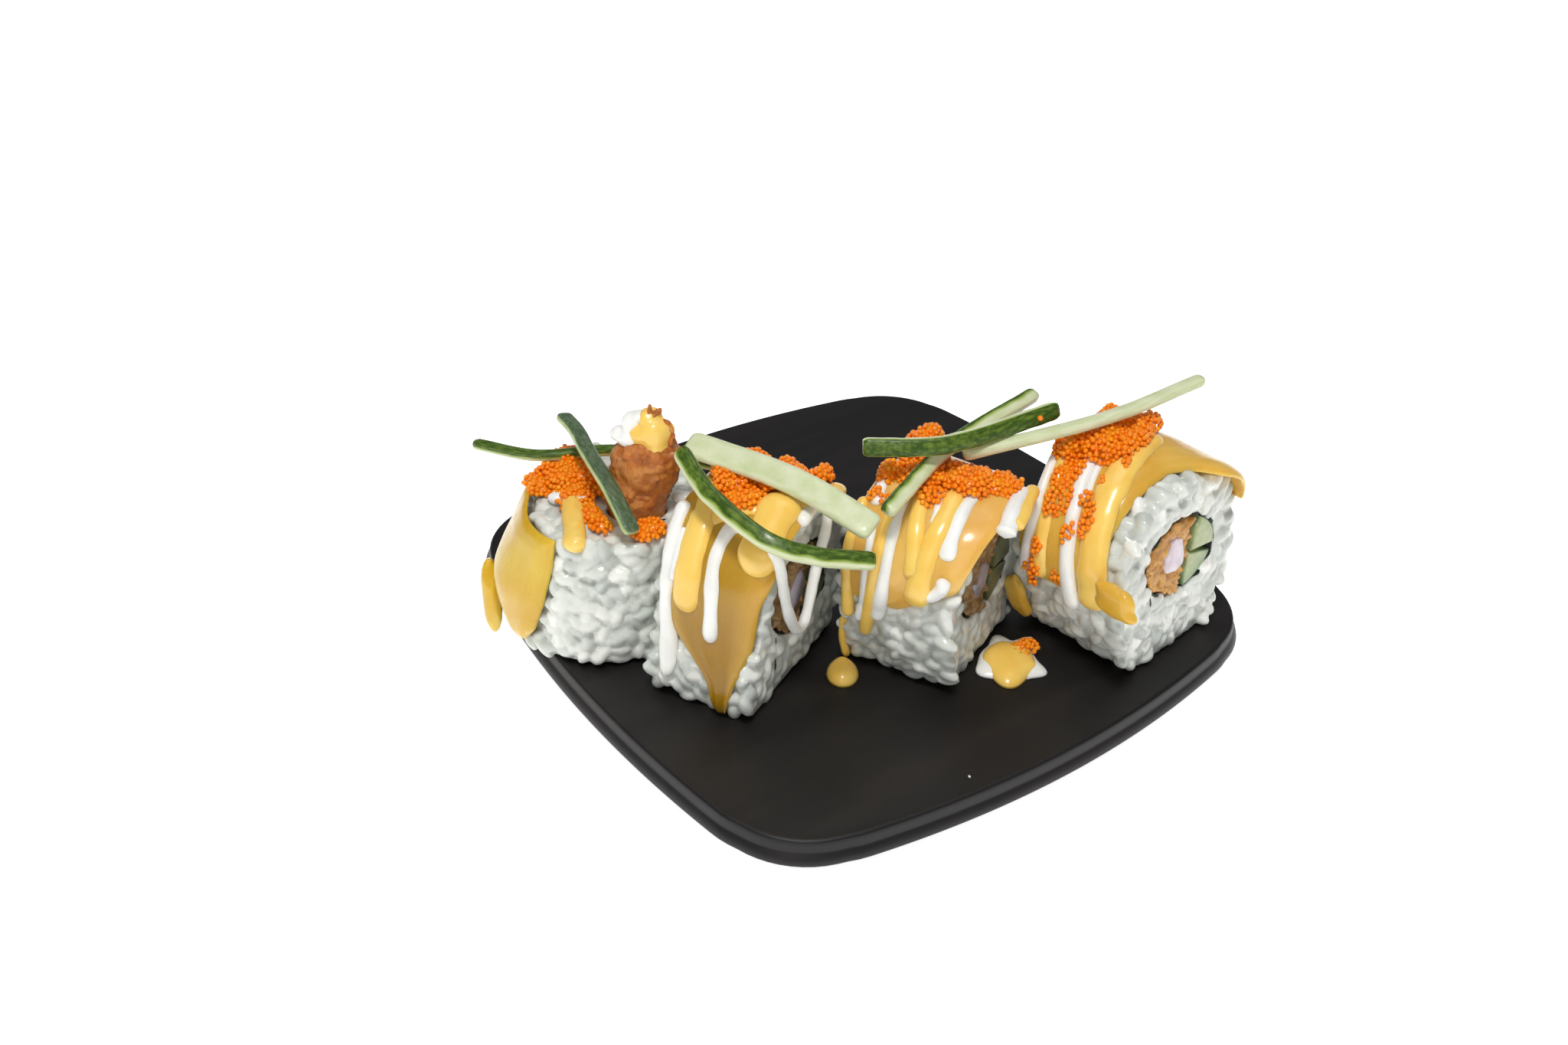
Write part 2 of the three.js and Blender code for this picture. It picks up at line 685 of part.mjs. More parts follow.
// The prawn of the upright piece runs out of the filling and stands over it, its tip under
// two blobs of sauce.
function prawnTail(roll) {
  const random = draws(61);
  const rise = 19;
  const [broad, deep] = [8.4, 6.3];
  const girth = [
    [-roll.length, 0.98],
    [-1, 0.98],
    [4, 1],
    [11, 0.98],
    [16, 0.82],
    [rise, 0.56],
  ];
  const middle = ringFrame(roll, 0, 0);
  const geometry = new THREE.CylinderGeometry(1, 1, 1, 12, 8);
  const rough = roughness(random);
  const tail = solid(warp(geometry, (point) => {
    const x = lerp(-roll.length, rise, point.y + 0.5);
    const size = along(girth, x) * (1 + (x > 0 ? 0.07 : 0.01) * rough(point));
    const sway = Math.max(0, x) * 0.1;
    const spot = new THREE.Vector2(point.x * broad * size, point.z * deep * size);
    spot.rotateAround(new THREE.Vector2(), radians(roll.ring.turn));
    point.set(x, middle.x + sway + spot.x, middle.y - sway + spot.y);
  }));
  const blob = (radius, spot, squash) => {
    return solid(warp(new THREE.SphereGeometry(radius, 8, 4), (point) => {
      point.multiply(new THREE.Vector3(...squash)).add(new THREE.Vector3(...spot));
    }));
  };
  const x = rise;
  const [y, z] = [middle.x + 1.8, middle.y - 1.8];
  return largest(join([
    tail,
    blob(5.4, [x + 2.2, y + 1.4, z - 0.4], [1.05, 1, 0.9]),
    blob(4.4, [x - 1.4, y + 0.2, z - 4.4], [1.3, 1, 0.7]),
    blob(4.4, [x + 1, y - 6.4, z + 1], [0.9, 1.1, 0.9]),
    blob(3.2, [x + 4.8, y - 3, z + 2.4], [0.8, 1.3, 1]),
  ]));
}

// A cucumber strip: a bar with one rounded side, carried along its middle line.
function stick(plan, grow = 0) {
  const points = plan.path.map(([x, y, z]) => new THREE.Vector3(x, y, z + BOARD_TOP));
  const curve = new THREE.CatmullRomCurve3(points);
  const steps = 2 * (points.length - 1) + 1;
  const bar = new THREE.CylinderGeometry(1, 1, 1, 6, steps);
  const up = new THREE.Vector3(0, 0, 1);
  return warp(bar, (point) => {
    const t = point.y + 0.5;
    const tangent = curve.getTangent(t);
    const side = new THREE.Vector3().crossVectors(tangent, up).normalize();
    const over = new THREE.Vector3().crossVectors(side, tangent);
    side.applyAxisAngle(tangent, radians(plan.spin));
    over.applyAxisAngle(tangent, radians(plan.spin));
    const a = point.x * (plan.width / 2 / 0.87 + grow);
    const b = point.z * (plan.deep / 2 + grow);
    const end = t < 0.5 ? -grow : grow;
    point.copy(curve.getPoint(t));
    point.addScaledVector(tangent, Math.abs(t - 0.5) > 0.49 ? end : 0);
    point.addScaledVector(side, a).addScaledVector(over, b);
  });
}

// A drop of sauce on the board: a flat dome with a lobed outline.
function drop(middle, half, turn, lobes, high) {
  const ball = new THREE.SphereGeometry(1, 16, 6).rotateX(Math.PI / 2);
  return solid(warp(ball, (point) => {
    const share = Math.hypot(point.x, point.y);
    const angle = THREE.MathUtils.radToDeg(Math.atan2(point.y, point.x));
    const swell = lobes.reduce((sum, lobe) => {
      const away = ((angle - lobe.angle + 540) % 360) - 180;
      return sum + lobe.reach * Math.exp(-((away / lobe.spread) ** 2));
    }, 1);
    const spot = new THREE.Vector2(point.x * half[0] * swell, point.y * half[1] * swell);
    spot.rotateAround(new THREE.Vector2(), radians(turn));
    const lift = point.z > 0 ? high * Math.sqrt(Math.max(0, 1 - share ** 2)) : 0;
    const foot = point.z > 0 ? 0.5 : 0;
    point.set(middle[0] + spot.x, middle[1] + spot.y, BOARD_TOP + GAP + lift + foot);
  }));
}

function thread(from, to, thick) {
  const way = new THREE.Vector3().subVectors(to, from);
  const rod = new THREE.CylinderGeometry(thick * 0.7, thick, way.length(), 6, 1);
  const turn = new THREE.Quaternion().setFromUnitVectors(new THREE.Vector3(0, 1, 0), way.clone().normalize());
  const middle = from.clone().addScaledVector(way, 0.5);
  return solid(warp(rod, (point) => point.applyQuaternion(turn).add(middle)));
}

// A loose end of mango on a roll's surface, between two x and two angles.
function mangoEnd(roll, xs, angles, offset, thick) {
  const block = new THREE.BoxGeometry(1, 1, 1, 3, 4, 1);
  return solid(warp(block, (point) => {
    const rim = 1 - 0.35 * (2 * Math.abs(point.y)) ** 3;
    const x = lerp(xs[0], xs[1], 0.5 + point.x * rim);
    const angle = lerp(angles[0], angles[1], point.y + 0.5);
    const slim = 1 - 0.5 * (2 * Math.abs(point.x)) ** 2;
    point.copy(surface(roll, x, angle, offset + (point.z * slim + 0.5) * thick));
  }));
}

// The whole, put together piece by piece.
const group = new THREE.Group();
group.add(sub('board', board(), 'board'));

const stickBodies = STICKS.map((plan) => stick(plan));
const stickCuts = STICKS.map((plan) => stick(plan, GAP));

for (const roll of ROLLS) {
  const place = new THREE.Group();
  const height = roll.upright ? BOARD_TOP + GAP + roll.length : BOARD_TOP;
  place.position.set(roll.at[0], roll.at[1], height);
  place.rotation.set(0, roll.upright ? -Math.PI / 2 : 0, roll.upright ? 0 : radians(roll.yaw));
  place.updateMatrix();
  const back = place.matrix.clone().invert();
  const cutters = stickCuts.map((geometry) => solid(geometry.clone().applyMatrix4(back)));

  const grown = (DRIZZLE[roll.id] ?? []).map((one) => strand(roll, one, GAP));
  place.add(sub(`rice_${roll.id}`, rice(roll), 'rice'));
  place.add(sub(`nori_${roll.id}`, runThrough(roll, noriOutline(roll), 1, 0.2), 'nori'));
  place.add(sub(`mango_${roll.id}`, sliceWithDrizzle(roll), 'mango'));
  if (roll.upright) {
    const tail = prawnTail(roll);
    place.add(sub('prawn_1', tail, 'prawn'));
    const away = new THREE.CylinderGeometry(8.9, 8.9, 30, 14).rotateZ(Math.PI / 2);
    const middle = ringFrame(roll, 0, 0);
    away.translate(14, middle.x, middle.y);
    const roeCutters = [...cutters, solid(away), slice(roll, GAP * 2)];
    place.add(sub('roe_1', heap(roll, HEAPS[1], roeCutters), 'roe'));
    place.add(sub('roe_patch', heap(roll, PATCH, roeCutters), 'roe'));
    place.add(sub('mango_strip', mangoEnd(roll, [-33, -8], [143, 158], 5.4, 3), 'mango'));
  } else {
    place.add(sub(`prawn_${roll.id}`, prawnInside(roll), 'prawn'));
    place.add(sub(`cucumber_${roll.id}_low`, cucumberInside(roll, true), 'cucumber'));
    place.add(sub(`cucumber_${roll.id}_high`, cucumberInside(roll, false), 'cucumber'));
    place.add(sub(`roe_${roll.id}`, heap(roll, HEAPS[roll.id], [...cutters, ...grown]), 'roe'));
  }
  if (roll.id === 4) {
    place.add(sub('mango_end_1', mangoEnd(roll, [-4, 7], [166, 178], 4, 3.4), 'mango'));
    place.add(sub('mango_end_2', mangoEnd(roll, [-36.4, -30.6], [194, 222], 0.6, 3), 'mango'));
  }
  group.add(place);
}

STICKS.forEach((plan, i) => {
  group.add(sub(plan.name, solid(stickBodies[i]), i === 2 || i === 6 ? 'cucumber' : 'skin'));
});

const firstDrop = drop([35, -30.6], [5.6, 4.6], 40, [{ angle: 100, reach: 0.3, spread: 30 }], 2.4);
const fall = thread(
  new THREE.Vector3(31.6, -28.9, BOARD_TOP + 1),
  new THREE.Vector3(31.4, -28.6, BOARD_TOP + 12),
  1,
);
group.add(sub('sauce_drop_1', join([firstDrop, fall]), 'sauce'));
const secondLobes = [
  { angle: 218, reach: 0.4, spread: 20 },
  { angle: 312, reach: 0.35, spread: 20 },
  { angle: 75, reach: 0.2, spread: 28 },
  { angle: 140, reach: 0.3, spread: 20 },
];
group.add(sub('sauce_drop_2', drop([58.4, 8.3], [8.4, 7], -36, secondLobes, 3), 'sauce'));

export default group;
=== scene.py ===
# %% [markdown]
# # Uramaki on a black board
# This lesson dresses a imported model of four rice-roll pieces on their serving board. The solids
# already have the right places and sizes, but a real piece of sushi is made of hundreds of
# grains and eggs, wet slices of fruit and sauce that ran where it wanted. Each step below
# replaces one kind of solid with such a piece, in the same place.

import math
import random

import bmesh
import bpy
from mathutils import Matrix, Vector, noise
from mathutils.kdtree import KDTree


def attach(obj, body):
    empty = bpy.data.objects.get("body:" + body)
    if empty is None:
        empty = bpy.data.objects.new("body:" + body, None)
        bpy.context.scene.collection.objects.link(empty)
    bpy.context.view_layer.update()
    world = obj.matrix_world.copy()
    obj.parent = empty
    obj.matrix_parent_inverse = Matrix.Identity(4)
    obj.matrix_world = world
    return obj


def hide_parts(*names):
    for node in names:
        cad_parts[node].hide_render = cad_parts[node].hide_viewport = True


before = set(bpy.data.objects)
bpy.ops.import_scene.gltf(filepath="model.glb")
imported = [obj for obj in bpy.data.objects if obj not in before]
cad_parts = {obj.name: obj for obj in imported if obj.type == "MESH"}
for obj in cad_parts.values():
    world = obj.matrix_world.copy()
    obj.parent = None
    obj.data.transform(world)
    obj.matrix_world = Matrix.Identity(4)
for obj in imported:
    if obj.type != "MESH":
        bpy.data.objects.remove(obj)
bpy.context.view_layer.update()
print(f"frame loaded: {len(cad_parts)} nodes")

# %% [markdown]
# ## The rolls' own coordinates
# Every topping follows the surface of a roll, so the roll is described once, by the outline of
# its section. A place on it is then three plain numbers: how far along the roll, which angle
# round it, and how high over its surface. All lengths are millimetres until a piece is finished.

# %% Sizes shared by the pieces
# A roll's ring is the nori round its filling: middle, half-widths, turn, and the angle at
# which the sheet leaves for the seam. Its feet are bulges of rice where it stands.
MM = 0.001
BOARD_TOP = 9
GAP = 0.35
NORI = 0.45
MANGO = 2.6
ROLLS = {
    1: dict(at=(-23, -68), yaw=0, upright=True, length=38, half=(25, 25), power=2, feet=(),
            ring=((4.3, -10.2), (9.6, 7.5), -36, 14), seam=330, lean=0),
    2: dict(at=(24.7, -36), yaw=27, upright=False, length=30, half=(23, 24), power=2.4,
            feet=((220.6, 12), (306, 4)), ring=((-1, 25), (16.4, 12.4), -14, 222), seam=240, lean=0),
    3: dict(at=(48.5, 5.7), yaw=25, upright=False, length=32, half=(23, 24), power=2.4,
            feet=((235, 4.4), (304, 4)), ring=((0, 26), (16, 11.6), -12, 214), seam=240, lean=0),
    4: dict(at=(76.2, 49.9), yaw=8, upright=False, length=36, half=(26, 26), power=2.3,
            feet=((241, 3), (300, 3)), ring=((0.8, 29.4), (16.2, 11.4), -12, 226), seam=255,
            lean=0.07),
}
FOOT_SPREAD = 22
PRESSED = dict(depth=7, start=-20, full=2, angle=148, spread=46)
DEGREE = 0.42  # millimetres of arc for one degree on a roll's side
MARGIN_DEGREES = 2.3  # degrees for one millimetre beside a slice


# %% A value that eases from 0 to 1
def smooth_step(low, high, value):
    share = min(1, max(0, (value - low) / (high - low)))
    return share * share * (3 - 2 * share)


# %% Where a roll stands on the board
def place_of(roll):
    if roll["upright"]:
        foot = Vector((*roll["at"], BOARD_TOP + GAP + roll["length"]))
        return Matrix.Translation(foot) @ Matrix.Rotation(math.radians(-90), 4, "Y")
    turn = Matrix.Rotation(math.radians(roll["yaw"]), 4, "Z")
    return Matrix.Translation(Vector((*roll["at"], BOARD_TOP))) @ turn


for one in ROLLS.values():
    one["place"] = place_of(one)


# %% The outline of a roll's section
def turned_from(angle, other):
    """How far one angle is from another, in degrees from -180 to 180."""
    return (angle - other + 540) % 360 - 180


def section_radius(roll, angle):
    across = abs(math.cos(math.radians(angle)) / roll["half"][0]) ** roll["power"]
    upward = abs(math.sin(math.radians(angle)) / roll["half"][1]) ** roll["power"]
    feet = sum(reach * math.exp(-((turned_from(angle, at) / FOOT_SPREAD) ** 2))
               for at, reach in roll["feet"])
    return (across + upward) ** (-1 / roll["power"]) + feet


def section_point(roll, angle, over=0.0):
    reach = section_radius(roll, angle) + over
    middle = 0 if roll["upright"] else roll["half"][1]
    lift = middle + reach * math.sin(math.radians(angle))
    return reach * math.cos(math.radians(angle)), lift if roll["upright"] else max(GAP, lift)


def shoulder(roll, x, angle):
    """How deep the upright piece was pressed in, at the top of its left side."""
    if not roll["upright"]:
        return 0
    turned = turned_from(angle, PRESSED["angle"]) / PRESSED["spread"]
    return PRESSED["depth"] * smooth_step(PRESSED["start"], PRESSED["full"], x) * math.exp(-(turned ** 2))


def in_roll(roll, x, y, z):
    """A point in the roll's own axes, brought to the board. The cut face may lean back."""
    back = roll["lean"] * z * (1 + x / roll["length"])
    return roll["place"] @ Vector((x - back, y, z))


def on_roll(roll, x, angle, over=0.0):
    return in_roll(roll, x, *section_point(roll, angle, over - shoulder(roll, x, angle)))


def ring_axes(roll):
    """The cosine and sine of the ring's turn."""
    turn = math.radians(roll["ring"][2])
    return math.cos(turn), math.sin(turn)


def ring_point(roll, angle, grow=0.0):
    """A point on the nori, or beside it by grow."""
    (y, z), (a, b), *_ = roll["ring"]
    u, v = (a + grow) * math.cos(math.radians(angle)), (b + grow) * math.sin(math.radians(angle))
    c, s = ring_axes(roll)
    return y + u * c - v * s, z + u * s + v * c


def ring_frame(roll, u, v):
    """A point inside the nori, as shares of its two half-widths."""
    (y, z), (a, b), *_ = roll["ring"]
    c, s = ring_axes(roll)
    return y + u * a * c - v * b * s, z + u * a * s + v * b * c


print("a point on top of roll 2:", on_roll(ROLLS[2], -10, 90))


# %% [markdown]
# ## Three starting shapes
# Nearly every piece starts as one of three simple shapes made by an operator: a slab for
# slices, a rod for sauce and sticks, and a ball for grains and drops. A function then moves
# each vertex to its place. This keeps the mesh in clean rows, which smooth shading needs. Each
# start is made on its own and added to its piece when its vertices are in place.

# %% Slab, rod and ball
def slab(columns, rows):
    """A closed flat block from 0 to 1 in x, y and z."""
    shape = bmesh.new()
    move = Matrix.Translation((0.5, 0.5, 0))
    bmesh.ops.create_grid(shape, x_segments=columns, y_segments=rows, size=0.5, matrix=move)
    raised = bmesh.ops.extrude_face_region(shape, geom=shape.faces[:], use_keep_orig=True)["geom"]
    high = [item for item in raised if isinstance(item, bmesh.types.BMVert)]
    bmesh.ops.translate(shape, vec=(0, 0, 1), verts=high)
    return shape


def rod(around, steps):
    """A closed rod of radius 1 from z 0 to 1, with rings at even steps."""
    shape = bmesh.new()
    bmesh.ops.create_cone(shape, cap_ends=True, segments=around, radius1=1, radius2=1,
                          depth=1, matrix=Matrix.Translation((0, 0, 0.5)))
    upright = [edge for edge in shape.edges if abs(edge.verts[0].co.z - edge.verts[1].co.z) > 0.5]
    bmesh.ops.subdivide_edges(shape, edges=upright, cuts=steps - 1)
    return shape


def ball(around, rings):
    shape = bmesh.new()
    bmesh.ops.create_uvsphere(shape, u_segments=around, v_segments=rings, radius=1)
    return shape


def warp(shape, place):
    for vert in shape.verts:
        vert.co = place(vert.co.copy())
    return shape


def join_to(piece, part):
    """Adds a finished part to the shape of a piece."""
    mesh = bpy.data.meshes.new("part")
    part.to_mesh(mesh)
    part.free()
    piece.from_mesh(mesh)
    bpy.data.meshes.remove(mesh)


def scatter(piece, spots, make_one, draw, batch=16):
    """Adds one small solid at each spot, with a tone of its own.

    An operator slows down as its mesh grows, so the solids are made a few at a time."""
    for start in range(0, len(spots), batch):
        part = bmesh.new()
        tone = part.verts.layers.float.new("tone")
        for item in spots[start:start + batch]:
            own = draw.random()
            for vert in make_one(part, draw, *item):
                vert[tone] = own
        join_to(piece, part)


# %% Melt overlapping solids into one skin
def fused(shape, grid, rounds=2):
    """One closed skin round all the solids of a shape, with its creases softened."""
    mesh = bpy.data.meshes.new("loose")
    shape.to_mesh(mesh)
    shape.free()
    holder = bpy.data.objects.new("loose", mesh)
    bpy.context.scene.collection.objects.link(holder)
    skin = holder.modifiers.new("skin", "REMESH")
    skin.mode = "VOXEL"
    skin.voxel_size = grid
    seen = holder.evaluated_get(bpy.context.evaluated_depsgraph_get())
    result = bpy.data.meshes.new_from_object(seen)
    whole = bmesh.new()
    whole.from_mesh(result)
    bpy.data.objects.remove(holder)
    bpy.data.meshes.remove(mesh)
    bpy.data.meshes.remove(result)
    for _ in range(rounds):
        bmesh.ops.smooth_vert(whole, verts=whole.verts, factor=0.5, use_axis_x=True,
                              use_axis_y=True, use_axis_z=True)
    return whole


def tone_by_nearest(shape, centres, draw):
    """Gives every vertex the random tone of the small solid it belongs to."""
    tree = KDTree(len(centres))
    for index, centre in enumerate(centres):
        tree.insert(centre, index)
    tree.balance()
    tones = [draw.random() for _ in centres]
    tone = shape.verts.layers.float.new("tone")
    for vert in shape.verts:
        vert[tone] = tones[tree.find(vert.co)[1]]


# %% Finish a piece: metres, smooth shading, and its tie to the frame
def finish_piece(name, shape, material, stands_for=()):
    bmesh.ops.recalc_face_normals(shape, faces=shape.faces)
    bmesh.ops.scale(shape, vec=(MM, MM, MM), verts=shape.verts)
    mesh = bpy.data.meshes.new(name)
    shape.to_mesh(mesh)
    shape.free()
    mesh.materials.append(material)
    mesh.polygons.foreach_set("use_smooth", [True] * len(mesh.polygons))
    piece = bpy.data.objects.new(name, mesh)
    bpy.context.scene.collection.objects.link(piece)
    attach(piece, "root")
    if stands_for:
        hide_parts(*stands_for)
    print(f"{name}: {sum(len(face.vertices) - 2 for face in mesh.polygons)} triangles")
    return piece


# %% Reading a value off a list, and a smooth path through points
def along(pairs, position):
    last = pairs[0]
    for pair in pairs:
        if position <= pair[0]:
            span = pair[0] - last[0]
            share = (position - last[0]) / span if span else 1
            return last[1] + (pair[1] - last[1]) * share
        last = pair
    return last[1]


def path_point(points, t):
    """A Catmull-Rom curve through the points, at t from 0 to 1."""
    spans = len(points) - 1
    i = min(int(t * spans), spans - 1)
    u = t * spans - i
    p1, p2 = points[i], points[i + 1]
    p0 = points[i - 1] if i > 0 else p1 * 2 - p2
    p3 = points[i + 2] if i + 2 <= spans else p2 * 2 - p1
    return ((p1 * 2) + (p2 - p0) * u + (p0 * 2 - p1 * 5 + p2 * 4 - p3) * u * u
            + (p1 * 3 - p0 - p2 * 3 + p3) * u * u * u) / 2


def path_way(points, t):
    """The direction of the curve at t."""
    return (path_point(points, min(1, t + 0.01)) - path_point(points, max(0, t - 0.01))).normalized()


def end_closing(from_end, reach):
    """Shrinks a rod towards its ends as half a ball would, but never quite to nothing."""
    return math.sqrt(max(0.0004, 1 - max(0, 1 - from_end / reach) ** 2))


def eased(share):
    """Even steps from 0 to 1, made closer near both ends."""
    return 0.5 - 0.5 * math.cos(math.pi * share)


# %% [markdown]
# ## Materials
# Wet food is mostly about three things: colour that drifts over the surface, light that goes a
# little way in, and a broken gloss. The drift and the fine relief are node groups that every
# material places with its own values. The shader stays in each material, where its constant
# values sit on its own sockets.

# %% Helpers that add nodes
def add(tree, kind, settings=None, **inputs):
    node = tree.nodes.new("ShaderNode" + kind)
    for key, value in (settings or {}).items():
        setattr(node, key, value)
    for key, value in inputs.items():
        feed(tree, node.inputs[key.replace("_", " ")], value)
    return node


def feed(tree, socket, value):
    if isinstance(value, bpy.types.NodeSocket):
        tree.links.new(value, socket)
    else:
        socket.default_value = value


def mix(tree, factor, first, second):
    node = tree.nodes.new("ShaderNodeMix")
    node.data_type = "RGBA"
    for index, value in ((0, factor), (6, first), (7, second)):
        feed(tree, node.inputs[index], value)
    return node.outputs[2]


def ramp(tree, factor, low, high, out_low=0.0, out_high=1.0):
    """Stretches a value from one range to another, and stops at its ends."""
    node = add(tree, "MapRange", Value=factor, From_Min=low, From_Max=high,
               To_Min=out_low, To_Max=out_high)
    return node.outputs["Result"]


# %% Shared node groups: drifting colour and fine relief
def new_group(name, inputs, outputs):
    tree = bpy.data.node_groups.new(name, "ShaderNodeTree")
    for label, kind, value in inputs:
        socket = tree.interface.new_socket(label, in_out="INPUT", socket_type=kind)
        if value is not None:
            socket.default_value = value
    for label, kind in outputs:
        tree.interface.new_socket(label, in_out="OUTPUT", socket_type=kind)
    return tree, tree.nodes.new("NodeGroupInput").outputs, tree.nodes.new("NodeGroupOutput").inputs


def make_drift():
    tree, given, made = new_group(
        "Colour drift",
        [("Vector", "NodeSocketVector", None), ("Scale", "NodeSocketFloat", 100.0),
         ("Low", "NodeSocketFloat", 0.35), ("High", "NodeSocketFloat", 0.65),
         ("First", "NodeSocketColor", None), ("Second", "NodeSocketColor", None)],
        [("Color", "NodeSocketColor")])
    cloud = add(tree, "TexNoise", Vector=given["Vector"], Scale=given["Scale"], Detail=4.0)
    mask = add(tree, "MapRange", Value=cloud.outputs["Fac"], From_Min=given["Low"],
               From_Max=given["High"]).outputs["Result"]
    tree.links.new(mix(tree, mask, given["First"], given["Second"]), made["Color"])
    return tree


def make_relief():
    tree, given, made = new_group(
        "Fine relief",
        [("Vector", "NodeSocketVector", None), ("Scale", "NodeSocketFloat", 500.0),
         ("Strength", "NodeSocketFloat", 0.3), ("Depth", "NodeSocketFloat", 0.0003)],
        [("Normal", "NodeSocketVector")])
    cloud = add(tree, "TexNoise", Vector=given["Vector"], Scale=given["Scale"], Detail=3.0)
    bump = add(tree, "Bump", Height=cloud.outputs["Fac"], Strength=given["Strength"],
               Distance=given["Depth"])
    tree.links.new(bump.outputs["Normal"], made["Normal"])
    return tree


DRIFT = make_drift()
RELIEF = make_relief()


def drift(tree, vector, scale, first, second, low=0.35, high=0.65):
    """A colour that wanders between two; scale is how many clouds fit in a metre."""
    node = add(tree, "Group", {"node_tree": DRIFT}, Vector=vector, Scale=scale, Low=low,
               High=high, First=first, Second=second)
    return node.outputs["Color"]


def relief(tree, vector, scale, strength, depth):
    """Fine bumps for the gloss; depth is their height in metres."""
    node = add(tree, "Group", {"node_tree": RELIEF}, Vector=vector, Scale=scale,
               Strength=strength, Depth=depth)
    return node.outputs["Normal"]


# %% One way to start a food material
def wet_material(name, constants):
    """A material with a Principled shader whose constants sit on its own sockets."""
    material = bpy.data.materials.new(name)
    material.use_nodes = True
    tree = material.node_tree
    shader = tree.nodes["Principled BSDF"]
    for key, value in constants.items():
        shader.inputs[key].default_value = value
    place = add(tree, "TexCoord").outputs["Object"]
    return material, tree, shader, place


def attribute(tree, name, output="Fac"):
    return add(tree, "Attribute", {"attribute_name": name}).outputs[output]


def linear(value):
    """The usual screen curve undone, from 0 to 255 to 0 to 1; its foot is straight."""
    return ((value / 255 + 0.055) / 1.055) ** 2.4 if value > 10 else value / 3294


def colour(red, green, blue):
    """Blender colours are linear; the values given are as seen on a screen, 0 to 255."""
    return linear(red), linear(green), linear(blue), 1


# %% [markdown]
# ### Rice
# Cooked rice is white, but light goes into each grain, so its shadows stay pale. A plain white
# would look like plaster. So every grain gets one number of its own, stored on its vertices,
# and that number shifts its colour and its gloss.

# %% Rice material
def make_rice():
    material, tree, shader, place = wet_material("rice", {
        "Subsurface Weight": 0.7, "Subsurface Radius": (1.0, 0.98, 0.94), "Subsurface Scale": 0.0013,
        "Coat Weight": 0.6, "Coat Roughness": 0.08, "IOR": 1.36})
    tone = attribute(tree, "tone")
    base = mix(tree, tone, colour(190, 195, 188), colour(240, 241, 233))
    cloudy = drift(tree, place, 170.0, base, colour(214, 218, 209), 0.48, 0.75)
    feed(tree, shader.inputs["Base Color"], cloudy)
    feed(tree, shader.inputs["Roughness"], ramp(tree, tone, 0, 1, 0.42, 0.24))
    feed(tree, shader.inputs["Normal"], relief(tree, place, 620.0, 0.3, 0.0002))
    return material


RICE = make_rice()


# %% [markdown]
# ### Roe, mango and drizzle
# Flying-fish roe is clear orange, so it is given a deep scatter in red and a sharp coat. Mango
# is a wet, cloudy gold with faint fibres along the slice. The drizzle is thick and opaque with
# a soft gloss.

# %% Roe material
def make_roe():
    material, tree, shader, place = wet_material("roe", {
        "Subsurface Weight": 0.4, "Subsurface Radius": (1.0, 0.62, 0.1),
        "Subsurface Scale": 0.0012, "Roughness": 0.25, "Coat Weight": 0.3,
        "Coat Roughness": 0.08, "IOR": 1.38})
    tone = attribute(tree, "tone")
    base = mix(tree, tone, colour(255, 125, 2), colour(255, 166, 24))
    feed(tree, shader.inputs["Base Color"], drift(tree, place, 220.0, base, colour(255, 136, 6)))
    return material


ROE = make_roe()


# %% Mango material, from yellow to tan, darkened by a mask: painted shade where a slice hangs in front or lies underneath, weaker at its thin edges
def make_mango():
    material, tree, shader, place = wet_material("mango", {
        "Subsurface Weight": 0.55, "Subsurface Radius": (1.0, 0.7, 0.2),
        "Subsurface Scale": 0.003, "Coat Weight": 0.35, "Coat Roughness": 0.12, "IOR": 1.38})
    fibre_place = attribute(tree, "fibre", "Vector")
    ripe, deep = attribute(tree, "ripe"), attribute(tree, "deep")
    light = mix(tree, ripe, colour(219, 187, 59), colour(236, 190, 102))
    dense = mix(tree, ripe, colour(209, 165, 26), colour(226, 170, 74))
    broad = drift(tree, place, 55.0, light, dense, 0.35, 0.65)
    fibres = drift(tree, fibre_place, 1.0, broad, dense, 0.48, 0.8)
    # The deep mask darkens the colour towards a dark tan, mostly as painted shade.
    feed(tree, shader.inputs["Base Color"], mix(tree, deep, fibres, colour(164, 121, 16)))
    cloud = add(tree, "TexNoise", Vector=place, Scale=160.0, Detail=2.0).outputs["Fac"]
    feed(tree, shader.inputs["Roughness"], ramp(tree, cloud, 0.3, 0.7, 0.22, 0.45))
    feed(tree, shader.inputs["Normal"], relief(tree, fibre_place, 1.6, 0.3, 0.0004))
    return material


MANGO_LOOK = make_mango()


# %% Drizzle materials
def make_drizzle(name, main, shade):
    material, tree, shader, place = wet_material(name, {
        "Subsurface Weight": 0.3, "Subsurface Radius": (1.0, 0.8, 0.5),
        "Subsurface Scale": 0.001, "Roughness": 0.3, "Coat Weight": 0.3, "Coat Roughness": 0.15})
    feed(tree, shader.inputs["Base Color"], drift(tree, place, 130.0, main, shade))
    feed(tree, shader.inputs["Normal"], relief(tree, place, 240.0, 0.25, 0.0004))
    return material


YELLOW = make_drizzle("yellow_drizzle", colour(253, 212, 108), colour(250, 202, 92))
WHITE = make_drizzle("white_drizzle", colour(250, 250, 245), colour(240, 240, 234))
